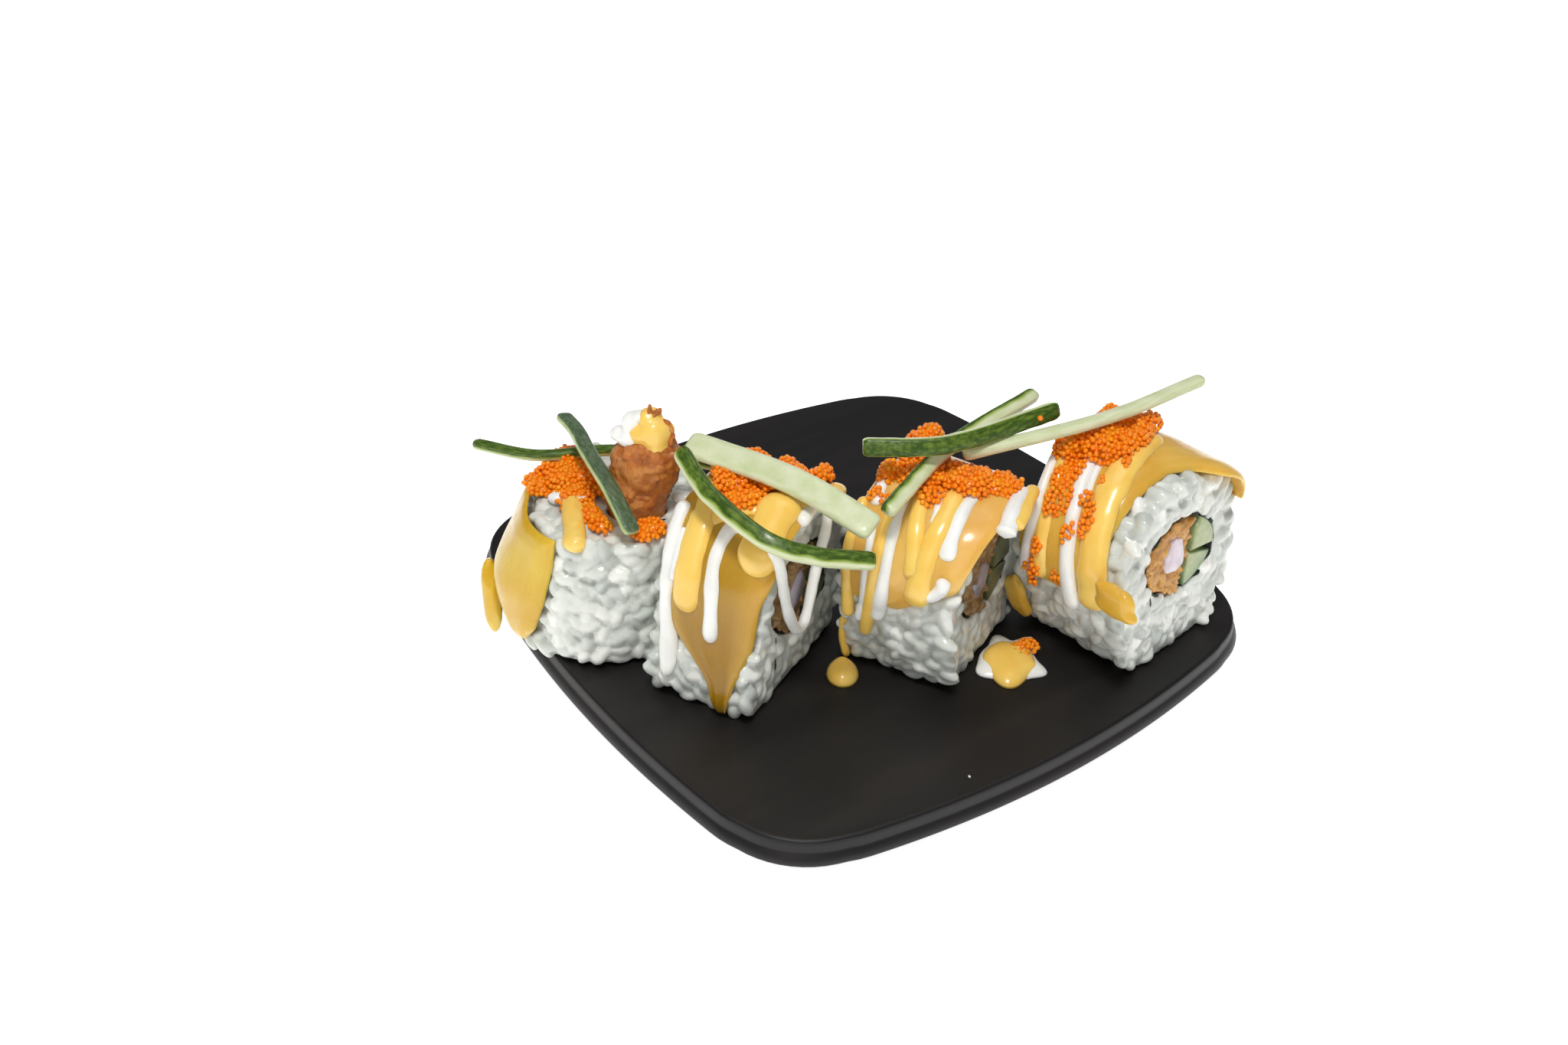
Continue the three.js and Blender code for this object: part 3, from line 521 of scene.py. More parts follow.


# %% [markdown]
# ### Crust, flesh, cucumber, nori and board
# Fried crumbs go from straw gold to brown within a millimetre. Cucumber changes from a dark,
# streaked skin to wet pale flesh, and a mask painted on the vertices says where. Nori and the
# board are both nearly black and differ in how they shine.
# The cut faces of pieces 2 and 3 lie in shade, so their crust, prawn and inner cucumber are darker
# copies: painted shade.

# %% Crust and flesh materials
def make_crust(name, dark, middle, light):
    material, tree, shader, place = wet_material(name, {
        "Subsurface Weight": 0.3, "Subsurface Radius": (1.0, 0.55, 0.25),
        "Subsurface Scale": 0.0012, "Specular IOR Level": 0.45})
    tone = attribute(tree, "tone")
    base = mix(tree, tone, middle, light)
    patchy = drift(tree, place, 260.0, base, dark, 0.45, 0.75)
    fine = drift(tree, place, 900.0, patchy, middle, 0.5, 0.7)
    feed(tree, shader.inputs["Base Color"], fine)
    cloud = add(tree, "TexNoise", Vector=place, Scale=700.0, Detail=3.0).outputs["Fac"]
    feed(tree, shader.inputs["Roughness"], ramp(tree, cloud, 0.3, 0.7, 0.3, 0.6))
    feed(tree, shader.inputs["Normal"], relief(tree, place, 1000.0, 0.5, 0.0004))
    return material


def make_flesh(name, light, dark):
    material, tree, shader, place = wet_material(name, {
        "Subsurface Weight": 0.5, "Subsurface Radius": (1.0, 0.8, 0.75),
        "Subsurface Scale": 0.0014, "Roughness": 0.3, "Coat Weight": 0.25})
    feed(tree, shader.inputs["Base Color"], drift(tree, place, 240.0, light, dark, 0.4, 0.7))
    feed(tree, shader.inputs["Normal"], relief(tree, place, 420.0, 0.5, 0.0005))
    return material


GOLDEN_CRUST = make_crust("golden_crust", colour(158, 102, 42), colour(196, 140, 66),
                          colour(222, 172, 98))
TAIL_CRUST = make_crust("tail_crust", colour(138, 66, 16), colour(178, 100, 34),
                        colour(208, 140, 66))
# Painted shade: a darker, greyer copy of the crust for the cut faces of pieces 2 and 3, which lie in
# shade.
SHADED_CRUST = make_crust("shaded_crust", colour(92, 66, 34), colour(132, 100, 58),
                        colour(164, 132, 86))
PALE_FLESH = make_flesh("pale_prawn", colour(226, 212, 218), colour(200, 180, 192))
# Painted shade: a darker, greyer copy of the pale flesh for the cut faces of pieces 2 and 3.
SHADED_FLESH = make_flesh("shaded_prawn", colour(166, 158, 168), colour(128, 118, 126))


# %% Cucumber material, flesh to skin by a mask
def make_cucumber(name, flesh_colours, rind_colours, under):
    material, tree, shader, _ = wet_material(name, {
        "Subsurface Weight": 0.3, "Subsurface Radius": (0.7, 1.0, 0.5),
        "Subsurface Scale": 0.0015, "Coat Weight": 0.25, "Coat Roughness": 0.18, "IOR": 1.35})
    skin = attribute(tree, "skin")
    fibre_place = attribute(tree, "fibre", "Vector")
    flesh = drift(tree, fibre_place, 0.8, *flesh_colours, 0.35, 0.75)
    rind = drift(tree, fibre_place, 2.2, *rind_colours, 0.42, 0.7)
    under_skin = mix(tree, ramp(tree, skin, 0.2, 0.5), flesh, under)
    both = mix(tree, ramp(tree, skin, 0.5, 0.66), under_skin, rind)
    feed(tree, shader.inputs["Base Color"], both)
    feed(tree, shader.inputs["Roughness"], ramp(tree, skin, 0, 1, 0.3, 0.42))
    feed(tree, shader.inputs["Normal"], relief(tree, fibre_place, 3.4, 0.4, 0.0003))
    return material


CUCUMBER = make_cucumber("cucumber", (colour(218, 223, 188), colour(198, 208, 156)),
                         (colour(54, 82, 14), colour(106, 130, 46)), colour(152, 174, 78))
BLOOM_CUCUMBER = make_cucumber("cucumber_bloom", (colour(190, 204, 150), colour(150, 172, 106)),
                               (colour(70, 92, 62), colour(108, 124, 96)), colour(128, 150, 88))
INNER_CUCUMBER = make_cucumber("inner_cucumber", (colour(180, 190, 142), colour(154, 166, 114)),
                               (colour(104, 130, 92), colour(84, 112, 70)), colour(134, 158, 112))
# Painted shade: the inner cucumber darkened for the cut faces of pieces 2 and 3, which lie in shade.
SHADED_CUCUMBER = make_cucumber("shaded_cucumber", (colour(112, 116, 78), colour(92, 94, 62)),
                              (colour(70, 80, 48), colour(56, 66, 38)), colour(88, 94, 58))


# %% Nori material
def make_nori():
    material, tree, shader, place = wet_material("nori", {"Specular IOR Level": 0.35})
    feed(tree, shader.inputs["Base Color"],
         drift(tree, place, 900.0, colour(16, 24, 20), colour(40, 50, 34)))
    cloud = add(tree, "TexNoise", Vector=place, Scale=1500.0).outputs["Fac"]
    feed(tree, shader.inputs["Roughness"], ramp(tree, cloud, 0.3, 0.7, 0.35, 0.7))
    feed(tree, shader.inputs["Normal"], relief(tree, place, 1400.0, 0.6, 0.0003))
    return material


NORI_LOOK = make_nori()


# %% Board material: black with a faint wood figure
def make_board():
    material, tree, shader, place = wet_material("board", {"Specular IOR Level": 0.36})
    stretched = add(tree, "Mapping", Vector=place, Scale=(1.0, 0.12, 1.0)).outputs["Vector"]
    figure = add(tree, "TexNoise", Vector=stretched, Scale=90.0, Detail=6.0,
                 Distortion=0.6).outputs["Fac"]
    grain = mix(tree, ramp(tree, figure, 0.38, 0.66), colour(17, 15, 15), colour(28, 24, 23))
    feed(tree, shader.inputs["Base Color"], grain)
    feed(tree, shader.inputs["Roughness"], ramp(tree, figure, 0.3, 0.7, 0.46, 0.5))
    bump = add(tree, "Bump", Height=figure, Strength=0.06, Distance=0.0003)
    feed(tree, shader.inputs["Normal"], bump.outputs["Normal"])
    return material


BOARD_LOOK = make_board()
print("materials:", len(bpy.data.materials))


# %% [markdown]
# ## The board
# The board is moulded: a square with round corners whose sides bow out a little, a soft ridge
# round its top and a rim that curls under. A rod with one ring for each step of that profile
# gives the shape, each ring pushed out to the outline.

# %% Outline of the board
BOARD_HALF = 90
BOARD_CORNER = 25
BOARD_BOW = (7, 5.5)
BOARD_PROFILE = [  # out from the outline, and height, from the middle of the foot to the top
    (-6, 0), (-4, 0.05), (-1, 0.8), (1.1, 1.7), (1.95, 2.6), (2.0, 3.1), (1.6, 4.2), (0.9, 5.2),
    (0.55, 5.55), (0.5, 5.8), (0.42, 7.2), (0.2, 8.4), (-0.05, 8.8), (-0.5, 9.0), (-1.0, 9.02),
    (-1.6, 8.96), (-3, 8.95), (-20, 8.95)]


def board_reach(angle):
    """How far the outline lies from the middle, found by halving."""
    straight = BOARD_HALF - BOARD_CORNER
    way = (abs(math.cos(angle)), abs(math.sin(angle)))
    near, far = 0.0, 2.0 * BOARD_HALF
    for _ in range(30):
        reach = (near + far) / 2
        x, y = way[0] * reach, way[1] * reach
        bow_x = BOARD_BOW[0] * min(1, y / straight) ** 2
        bow_y = BOARD_BOW[1] * min(1, x / straight) ** 2
        out = math.hypot(max(0, x - straight + bow_x), max(0, y - straight + bow_y))
        near, far = (near, reach) if out > BOARD_CORNER else (reach, far)
    return near


# %% Make the board
def make_board_piece():
    steps = len(BOARD_PROFILE) - 1
    reaches = {}

    def place(point):
        angle = math.atan2(point.y, point.x)
        key = round(angle, 4)
        if key not in reaches:
            reaches[key] = board_reach(angle)
        out, height = BOARD_PROFILE[round(point.z * steps)]
        reach = reaches[key] + out
        return Vector((math.cos(angle) * reach, math.sin(angle) * reach, height))

    shape = warp(rod(256, steps), place)
    return finish_piece("serving_board", shape, BOARD_LOOK, ["board"])


make_board_piece()


# %% [markdown]
# ## Rice
# Each roll is a thick ring of rice. A smooth core fills it, and whole grains lie half sunk in
# the core's surface, at random turns but never closer than a set distance, which is how
# pressed grains sit. Core and grains are then melted into one skin, so that the creases between
# grains are soft, and each grain keeps a tone of its own.

# %% Spread candidates evenly
def spread(candidates, apart):
    """Keeps each candidate that is far enough from those kept before it."""
    kept, cells = [], {}
    for item in candidates:
        spot = item[0]
        cell = tuple(int(c // apart) for c in spot)
        near = (other for dx in (-1, 0, 1) for dy in (-1, 0, 1) for dz in (-1, 0, 1)
                for other in cells.get((cell[0] + dx, cell[1] + dy, cell[2] + dz), ()))
        if all((spot - other).length >= apart for other in near):
            cells.setdefault(cell, []).append(spot)
            kept.append(item)
    return kept


# %% What lies on each roll, so that no grain pokes through it
# Each slice is given by its two edges. On the upright piece they are (x, angle) from its foot
# up; on a lying piece they are (angle, x) from the back, over the top, to the front.
SLICES = {
    1: dict(along=(-35.5, 1.2), low=[(-35.5, 179), (-31, 158), (-24, 140), (-6, 133), (1.2, 136)],
            high=[(-35.5, 184), (-30, 194), (-20, 203), (-8, 210), (1.2, 213)], gap=0.9, swell=1.5),
    2: dict(around=(28, 217),
            left=[(28, -29), (150, -29.5), (184, -26.8), (194, -21), (204, -12), (217, -9.2)],
            right=[(28, 0), (90, 2.4), (145, 1.6), (160, -0.6), (190, -1.6), (205, -4.6),
                   (217, -6.6)], gap=0.9, swell=0.2),
    3: dict(around=(30, 180), left=[(30, -30), (120, -31), (160, -30.4), (180, -27)],
            right=[(30, 0), (62, 0.5), (80, 3.4), (95, 5), (112, 5), (145, 2), (156, 0.6),
                   (180, -15)], gap=0.5, swell=0.2),
    4: dict(around=(24, 186), left=[(24, -35), (120, -35.2), (170, -34.6), (186, -32)],
            right=[(24, 2), (52, 6), (68, 5), (80, -1.5), (93, -5.4), (142, -7), (175, -8),
                   (186, -12)], gap=0.5, swell=0.2),
}


def under_slice(number, x, angle, margin):
    """Whether a place lies under a slice, or beside it by less than the margin."""
    plan = SLICES[number]
    degrees = margin * MARGIN_DEGREES
    if "along" in plan:
        beside = along(plan["low"], x) - degrees < angle < along(plan["high"], x) + degrees
        return beside and x > plan["along"][0] - margin
    low, high = plan["around"]
    turn = min(max(angle, low), high)
    return (low - degrees < angle < high + degrees
            and along(plan["left"], turn) - margin < x < along(plan["right"], turn) + margin)


# %% The core of a rice ring
CORE_SHY = 0.6  # how far the core stays behind each cut face
CORE_UNDER = 0.95  # how far it stays under the roll's surface
FILLED = 1.8  # how far the upright piece's rice reaches in over its nori


def rice_core(roll):
    """A slab bent into a thick ring, its two ends merged where they meet."""

    def place(point):
        turn = 360 * point.x
        x = -CORE_SHY - (roll["length"] - 2 * CORE_SHY) * point.y
        tight = -FILLED if roll["upright"] else NORI / 2 + 0.05
        inner = ring_point(roll, turn - roll["ring"][2], tight)
        outer = section_point(roll, turn, -CORE_UNDER - shoulder(roll, x, turn))
        y, z = (inner[i] + (outer[i] - inner[i]) * point.z for i in (0, 1))
        return in_roll(roll, x, y, z)

    shape = slab(96, 12)
    seam = [face for face in shape.faces
            if all(vert.co.x < 0.001 for vert in face.verts)
            or all(vert.co.x > 0.999 for vert in face.verts)]
    bmesh.ops.delete(shape, geom=seam, context="FACES_ONLY")
    warp(shape, place)
    bmesh.ops.remove_doubles(shape, verts=shape.verts, dist=0.001)
    return shape


# %% One grain, half sunk
GRAIN_HALF = (3.6, 2.0, 1.85)


def facing(outward):
    """The turn that brings z to a direction."""
    return outward.to_track_quat("Z", "Y").to_matrix().to_4x4()


def grain(shape, draw, spot, outward):
    yaw = Matrix.Rotation(draw.uniform(0, math.tau), 4, "Z")
    tip = Matrix.Rotation(draw.uniform(-0.3, 0.3), 4, "Y")
    half = (GRAIN_HALF[0] * draw.uniform(0.82, 1.12), GRAIN_HALF[1] * draw.uniform(0.88, 1.1),
            GRAIN_HALF[2] * draw.uniform(0.9, 1.1))
    matrix = Matrix.Translation(spot) @ facing(outward) @ yaw @ tip @ Matrix.Diagonal((*half, 1))
    return bmesh.ops.create_icosphere(shape, subdivisions=2, radius=1, matrix=matrix)["verts"]


# %% Where the grains of a roll lie
GRAIN_SUNK = (-1.4, -0.1)  # middle over the round side
GRAIN_DEPTH = (0.9, 1.75)  # middle behind a cut face
GRAIN_SPACING = 2.9
GRAIN_OFF_BOARD = 1.7
END_OFF_BOARD = 1.8
END_MARGIN = 1.8  # from the outline of a cut face
BESIDE_SLICE = 0.4
NORI_CLEAR = (1.6, 1.9)  # from the ring, and from the sheet that leaves it
SKIN_GRID = 0.5


def grains_round(number, roll, draw, tries=4200):
    """Candidates on the round side of a roll, with their outward direction."""
    found = []
    for _ in range(tries):
        angle = draw.uniform(0, 360)
        x = -draw.uniform(1.0, roll["length"] - 1.0)
        sunk = draw.uniform(*GRAIN_SUNK)
        if under_slice(number, x, angle, BESIDE_SLICE):
            continue
        spot = on_roll(roll, x, angle, sunk)
        outward = (on_roll(roll, x, angle, 3) - on_roll(roll, x, angle, 0)).normalized()
        if spot.z > BOARD_TOP + GRAIN_OFF_BOARD:
            found.append((spot, outward))
    return found


def grains_on_end(roll, draw, front, tries=1800):
    """Candidates on a cut end: between the nori and the roll's outline, clear of the seam."""
    found = []
    normal = roll["place"].to_3x3() @ Vector((1 if front else -1, 0, 0))
    (y0, z0), (a, b), _, junction = roll["ring"]
    c, s = ring_axes(roll)
    root = Vector(ring_point(roll, junction))
    tail = Vector(section_point(roll, roll["seam"])) - root
    middle = 0 if roll["upright"] else roll["half"][1]
    for _ in range(tries):
        angle = draw.uniform(0, 360)
        reach = section_radius(roll, angle) - END_MARGIN - shoulder(roll, -1, angle)
        share = math.sqrt(draw.uniform(0, 1))
        y = reach * share * math.cos(math.radians(angle))
        z = middle + reach * share * math.sin(math.radians(angle))
        u, v = (y - y0) * c + (z - z0) * s, -(y - y0) * s + (z - z0) * c
        outside_ring = math.hypot(u / (a + NORI_CLEAR[0]), v / (b + NORI_CLEAR[0])) > 1
        from_root = Vector((y, z)) - root
        beside = abs(from_root.cross(tail)) / tail.length
        off_seam = beside > NORI_CLEAR[1] or from_root.dot(tail) < 0
        if outside_ring and off_seam and (roll["upright"] or z > END_OFF_BOARD):
            depth = draw.uniform(*GRAIN_DEPTH)
            x = -depth if front else depth - roll["length"]
            found.append((in_roll(roll, x, y, z), normal))
    return found


# %% Make the rice
def make_rice_piece(number):
    roll = ROLLS[number]
    draw = random.Random(100 + number)
    shape = rice_core(roll)
    candidates = grains_round(number, roll, draw) + grains_on_end(roll, draw, True)
    if not roll["upright"]:
        candidates += grains_on_end(roll, draw, False)
    grains = spread(candidates, GRAIN_SPACING)
    scatter(shape, grains, grain, draw)
    shape = fused(shape, SKIN_GRID, 1)
    tone_by_nearest(shape, [spot for spot, _ in grains], draw)
    return finish_piece(f"rice_grains_{number}", shape, RICE, [f"rice_{number}"])


for number in ROLLS:
    make_rice_piece(number)


# %% [markdown]
# ## Nori
# The sheet of seaweed shows only as a dark line at the cuts. A flat surface with a Solidify
# modifier could make it, but here both its walls are wanted in one closed mesh from the start.
# So it is a thin slab led round the filling and out through the rice to the roll's side, with a
# little wave in its edge, as rice presses it unevenly.

# %% Make the nori
def nori_strip(roll, path, columns, recess, uneven):
    """A strip led along a path in the section, set back from the cut faces."""

    def place(point):
        here, ahead = Vector(path(point.x)), Vector(path(point.x + 0.002))
        way = (ahead - here).normalized()
        side = Vector((-way.y, way.x)) * (point.z - 0.5) * NORI
        wave = uneven * noise.noise(Vector((here.x * 0.22, here.y * 0.22, roll["seam"])))
        x = -recess - (roll["length"] - 2 * recess) * point.y + wave * (1 - 2 * point.y)
        return in_roll(roll, x, here.x + side.x, here.y + side.y)

    return warp(slab(columns, 1), place)


def make_nori_piece(number):
    roll = ROLLS[number]
    junction = roll["ring"][3]
    shape = nori_strip(roll, lambda t: ring_point(roll, junction + 2 + 350 * t), columns=90,
                       recess=1.1, uneven=1.5)
    root, end = Vector(ring_point(roll, junction)), Vector(section_point(roll, roll["seam"], -0.3))
    join_to(shape, nori_strip(roll, lambda t: root.lerp(end, t), columns=16, recess=0.8, uneven=0.9))
    return finish_piece(f"nori_sheet_{number}", shape, NORI_LOOK, [f"nori_{number}"])


for number in ROLLS:
    make_nori_piece(number)


# %% [markdown]
# ## Filling at the cuts
# Inside the nori lie a prawn in fried crumbs and two cucumber strips. Each runs through the
# whole roll. A prism drawn from its outline gives the body. Displacing that prism would only
# give waves, and fried batter has overhanging flakes, so crumbs are scattered over the cut ends
# and melted into the crust.

# %% A prism along the roll with softened ends
def prism(shape, outline, front, back, soft):
    """Adds a prism between two places along the roll, with both its ends bevelled."""
    corners = [shape.verts.new((0, y, z)) for y, z in outline]
    face = shape.faces.new(corners)
    raised = bmesh.ops.extrude_face_region(shape, geom=[face], use_keep_orig=True)["geom"]
    far = [item for item in raised if isinstance(item, bmesh.types.BMVert)]
    bmesh.ops.translate(shape, vec=(-1, 0, 0), verts=far)
    rims = {edge for vert in corners + far for edge in vert.link_edges
            if abs(edge.verts[0].co.x - edge.verts[1].co.x) < 0.5}
    for vert in corners + far:
        vert.co.x = front - (back - front) * vert.co.x
    bmesh.ops.bevel(shape, geom=list(rims), offset=soft, segments=3, profile=0.5,
                    affect="EDGES", material=-1)


# %% Crumbs of fried batter
def crumb(shape, draw, spot, outward, size):
    """An uneven flake, at a random turn on its surface."""
    spin = Matrix.Rotation(draw.uniform(0, math.tau), 4, "Z")
    tip = Matrix.Rotation(draw.uniform(-0.7, 0.7), 4, "Y")
    half = (size * draw.uniform(0.8, 1.5), size * draw.uniform(0.5, 0.9),
            size * draw.uniform(0.45, 0.75))
    matrix = Matrix.Translation(spot) @ facing(outward) @ (spin @ tip) @ Matrix.Diagonal((*half, 1))
    verts = bmesh.ops.create_icosphere(shape, subdivisions=2, radius=1, matrix=matrix)["verts"]
    for vert in verts:
        vert.co += noise.noise_vector(vert.co * 0.9) * size * 0.4
    return verts


# %% Outlines of the flesh in each cut prawn, and the edge of the filling inside the nori
CRUST_GRID = 0.38
CRUST_ARC = (80, 280)
CRUST_SIDE = ((0.14, -0.45), (0.2, 0), (0.14, 0.45))
NORI_BACK = 0.15  # a filling's clearance from the nori, beside the usual gap
FLESH_OUTLINE = {
    2: [(-9, 26.5), (-6.5, 31), (-2, 31.5), (0.5, 27.5), (-1.5, 22.5), (-6, 20.5), (-9, 22.5)],
    3: [(-9.5, 27.5), (-7, 31.5), (-2.5, 32), (0.5, 28.5), (-1, 23.5), (-5.5, 21.5), (-9, 23.5)],
    4: [(-7.2, 30.9), (-4, 37.0), (0.3, 35.3), (2.4, 30), (2.4, 26.4), (-1.6, 25), (-6, 26.4)],
}


def inside_nori(roll, start, stop, count, draw=None):
    """Points along the inside of the nori, set back unevenly where a draw is given."""
    points = []
    a, b = roll["ring"][1]
    for i in range(count + 1):
        turn = math.radians(start + (stop - start) * i / count)
        shy = NORI / 2 + GAP + NORI_BACK + (0.3 * draw.random() if draw else 0)
        points.append(ring_frame(roll, (a - shy) / a * math.cos(turn), (b - shy) / b * math.sin(turn)))
    return points


def is_inside(spot, outline):
    """Whether a flat point lies inside a closed outline."""
    inside = False
    for i, here in enumerate(outline):
        last = outline[i - 1]
        if (here.y > spot.y) != (last.y > spot.y):
            cross = last.x + (spot.y - last.y) * (here.x - last.x) / (here.y - last.y)
            inside = inside != (spot.x < cross)
    return inside


# %% Crumbs over both cut ends of a prawn
def crumbs_on_ends(roll, outline, flesh, draw, tries=1200):
    """Spots between the flesh and the edge of the crust, each with a direction and a size."""
    middle = sum(flesh, Vector((0, 0))) / len(flesh)
    crumbs = []
    for front in (True, False):
        normal = roll["place"].to_3x3() @ Vector((1 if front else -1, 0, 0))
        candidates = []
        for _ in range(tries):
            rim = Vector(outline[draw.randrange(len(outline))])
            spot = middle.lerp(rim, draw.uniform(0.45, 0.98))
            x = draw.uniform(-1.2, -0.3)
            x = x if front else -roll["length"] - x
            if not is_inside(spot, flesh):
                size = draw.uniform(0.8, 1.3)
                candidates.append((in_roll(roll, x, spot.x, spot.y), normal, size))
        crumbs += spread(candidates, 1.1)
    return crumbs


# %% Make the prawns of the lying pieces
def prawn_prism(roll, outline, recess, soft):
    shape = bmesh.new()
    prism(shape, outline, -recess, recess - roll["length"], soft)
    return warp(shape, lambda point: in_roll(roll, *point))


def make_prawn_piece(number):
    roll = ROLLS[number]
    draw = random.Random(200 + number)
    outline = inside_nori(roll, *CRUST_ARC, 40, draw)
    outline += [ring_frame(roll, u, v) for u, v in CRUST_SIDE]
    shape = prawn_prism(roll, outline, 0.9, 0.6)
    shape.verts.layers.float.new("tone")
    flesh = [Vector(point) for point in FLESH_OUTLINE[number]]
    crumbs = crumbs_on_ends(roll, outline, flesh, draw)
    scatter(shape, crumbs, crumb, draw)
    shape = fused(shape, CRUST_GRID, 1)
    tone_by_nearest(shape, [item[0] for item in crumbs], draw)
    # Pieces 2 and 3 get the crust and flesh with painted shade.
    crust, meat = (GOLDEN_CRUST, PALE_FLESH) if number == 4 else (SHADED_CRUST, SHADED_FLESH)
    finish_piece(f"prawn_crust_{number}", shape, crust, [f"prawn_{number}"])
    body = prawn_prism(roll, FLESH_OUTLINE[number], -0.1, 1.2)
    finish_piece(f"prawn_flesh_{number}", body, meat)


for number in (2, 3, 4):
    make_prawn_piece(number)


# %% Make the cucumber inside the lying pieces
STRIPS = {"low": dict(arc=(290, 352), corner=(0.28, -0.05), short=0.5, green=0.9),
          "high": dict(arc=(5, 68), corner=(0.28, 0.03), short=0.1, green=0.55)}


def make_inner_cucumber(number, name):
    roll, plan = ROLLS[number], STRIPS[name]
    outline = inside_nori(roll, *plan["arc"], 14) + [ring_frame(roll, *plan["corner"])]
    shape = bmesh.new()
    skin = shape.verts.layers.float.new("skin")
    fibre = shape.verts.layers.float_vector.new("fibre")
    prism(shape, outline, -plan["short"], plan["short"] - roll["length"], 0.5)
    (y0, z0), (a, b), *_ = roll["ring"]
    c, s = ring_axes(roll)
    for vert in shape.verts:
        y, z = vert.co.y - y0, vert.co.z - z0
        reach = math.hypot((y * c + z * s) / a, (-y * s + z * c) / b)
        vert[skin] = smooth_step(0.72, 1.1, reach) * plan["green"]
        vert[fibre] = Vector((vert.co.x * 0.1, vert.co.y * 0.5, vert.co.z * 0.5))
        vert.co = in_roll(roll, *vert.co)
    # Pieces 2 and 3 get the cucumber with painted shade.
    look = INNER_CUCUMBER if number == 4 else SHADED_CUCUMBER
    finish_piece(f"inner_cucumber_{number}_{name}", shape, look,
                 [f"cucumber_{number}_{name}"])


for number in (2, 3, 4):
    for name in STRIPS:
        make_inner_cucumber(number, name)


# %% [markdown]
# ## Mango
# A ripe slice droops over the roll and thins out to its edges. Simulated cloth would drape, but
# it would neither keep its thickness nor end where the real slice does. So it is a slab laid on
# the roll's surface, thinner at its rim, with long shallow ridges where the fibres run, and one
# level of subdivision rounds its edge.

# %% Place a slice on a roll
RIM_THICK = 0.3  # the share of its thickness that a slice keeps at its rim
RIM_WIDE = 0.16
RIDGE = 0.3
BELLY = 1.6


def slice_over(roll, plan, u, v, lift):
    """How high a place in a slice is over the roll; lift is 0 underneath and 1 on top."""
    rim = min(u, 1 - u, (1 - v) * 1.4, v * 2)
    deep = MANGO * (RIM_THICK + (1 - RIM_THICK) * math.sqrt(min(1, max(0, rim) / RIM_WIDE)))
    wave = BELLY * math.sin(math.pi * v) if "along" in plan else 1 + math.sin(7 * v + 4 * u)
    swell = plan["swell"] * wave * math.sin(math.pi * u) ** 2
    ridge = RIDGE * noise.noise(Vector((u * 6, v * 2.2, roll["length"])))
    return plan["gap"] + swell + lift * (deep + ridge)


def slice_point(roll, plan, u, v, lift):
    """A place in a slice: u runs across it and v along it."""
    over = slice_over(roll, plan, u, v, lift)
    if "along" in plan:
        x = plan["along"][0] + (plan["along"][1] - plan["along"][0]) * v
        low, high = along(plan["low"], x), along(plan["high"], x)
        return on_roll(roll, x, low + (high - low) * u, over)
    angle = plan["around"][0] + (plan["around"][1] - plan["around"][0]) * v
    left, right = along(plan["left"], angle), along(plan["right"], angle)
    return on_roll(roll, left + (right - left) * u, angle, over)


def mango_finish(name, shape, nodes):
    piece = finish_piece(name, shape, MANGO_LOOK, nodes)
    round_off = piece.modifiers.new("round_off", "SUBSURF")
    round_off.levels = round_off.render_levels = 1
    return piece


# %% Make the slices, each with its own ripeness
RIPENESS = {1: 0.0, 2: 0.5, 3: 1.0, 4: 0.6}
END_RIPENESS = {1: 0, 4: 0.45}


def mango_layers(shape):
    layers = shape.verts.layers
    # The deep layer is how much each vertex is darkened, mostly painted shade.
    return layers.float_vector.new("fibre"), layers.float.new("ripe"), layers.float.new("deep")


def slice_painted_shade(number, u, v, lift):
    """How much a slice is darkened. The second one is a little darker all over, with painted shade
    growing where it hangs in front; the others get painted shade only underneath. All of it fades towards
    the edges.
    """
    dark = 0.4 + 0.6 * smooth_step(0.3, 0.9, v) if number == 2 else 0.2 * (1 - lift)
    return dark * (0.4 + 0.6 * smooth_step(0, 0.3, min(u, 1 - u)))


def make_slice(number):
    roll, plan = ROLLS[number], SLICES[number]
    shape = slab(26, 44)
    fibre, ripe, deep = mango_layers(shape)
    for vert in shape.verts:
        u, v, lift = vert.co
        vert[fibre] = Vector((u * 14 + number, v * 3, 0))
        vert[ripe] = RIPENESS[number]
        # painted shade under each slice and on the second slice's hanging front
        vert[deep] = slice_painted_shade(number, u, v, lift)
        vert.co = slice_point(roll, plan, u, v, lift)
    return mango_finish(f"mango_slice_{number}", shape, [f"mango_{number}"])


for number in SLICES:
    make_slice(number)


# %% Loose ends of mango
def make_mango_end(name, number, xs, angles, over, thick, shift):
    """A small rounded scrap; shift slides its far end along the roll, so that it lies askew."""
    roll = ROLLS[number]
    shape = slab(12, 16)
    fibre, ripe, deep = mango_layers(shape)
    for vert in shape.verts:
        u, v, lift = vert.co.x * 2 - 1, vert.co.y * 2 - 1, vert.co.z
        vert[fibre] = Vector((u * 3, v, number))
        vert[ripe] = END_RIPENESS[number]
        vert[deep] = 0
        narrow = (1 - 0.5 * abs(v) ** 4) * (1 + 0.3 * noise.noise(Vector((v * 1.4, thick, u * 0.4))))
        short = 1 - 0.18 * abs(u) ** 3 + 0.2 * noise.noise(Vector((u * 1.3, over, 3)))
        slim = max(0.15, 1 - 0.75 * max(abs(u), abs(v)) ** 4)
        x = xs[0] + (xs[1] - xs[0]) * (0.5 + u * narrow / 2) + shift * v
        angle = angles[0] + (angles[1] - angles[0]) * (0.5 + v * short / 2)
        vert.co = on_roll(roll, x, angle, over + ((lift - 0.5) * slim + 0.5) * thick)
    return mango_finish(f"{name}_slice", shape, [name])


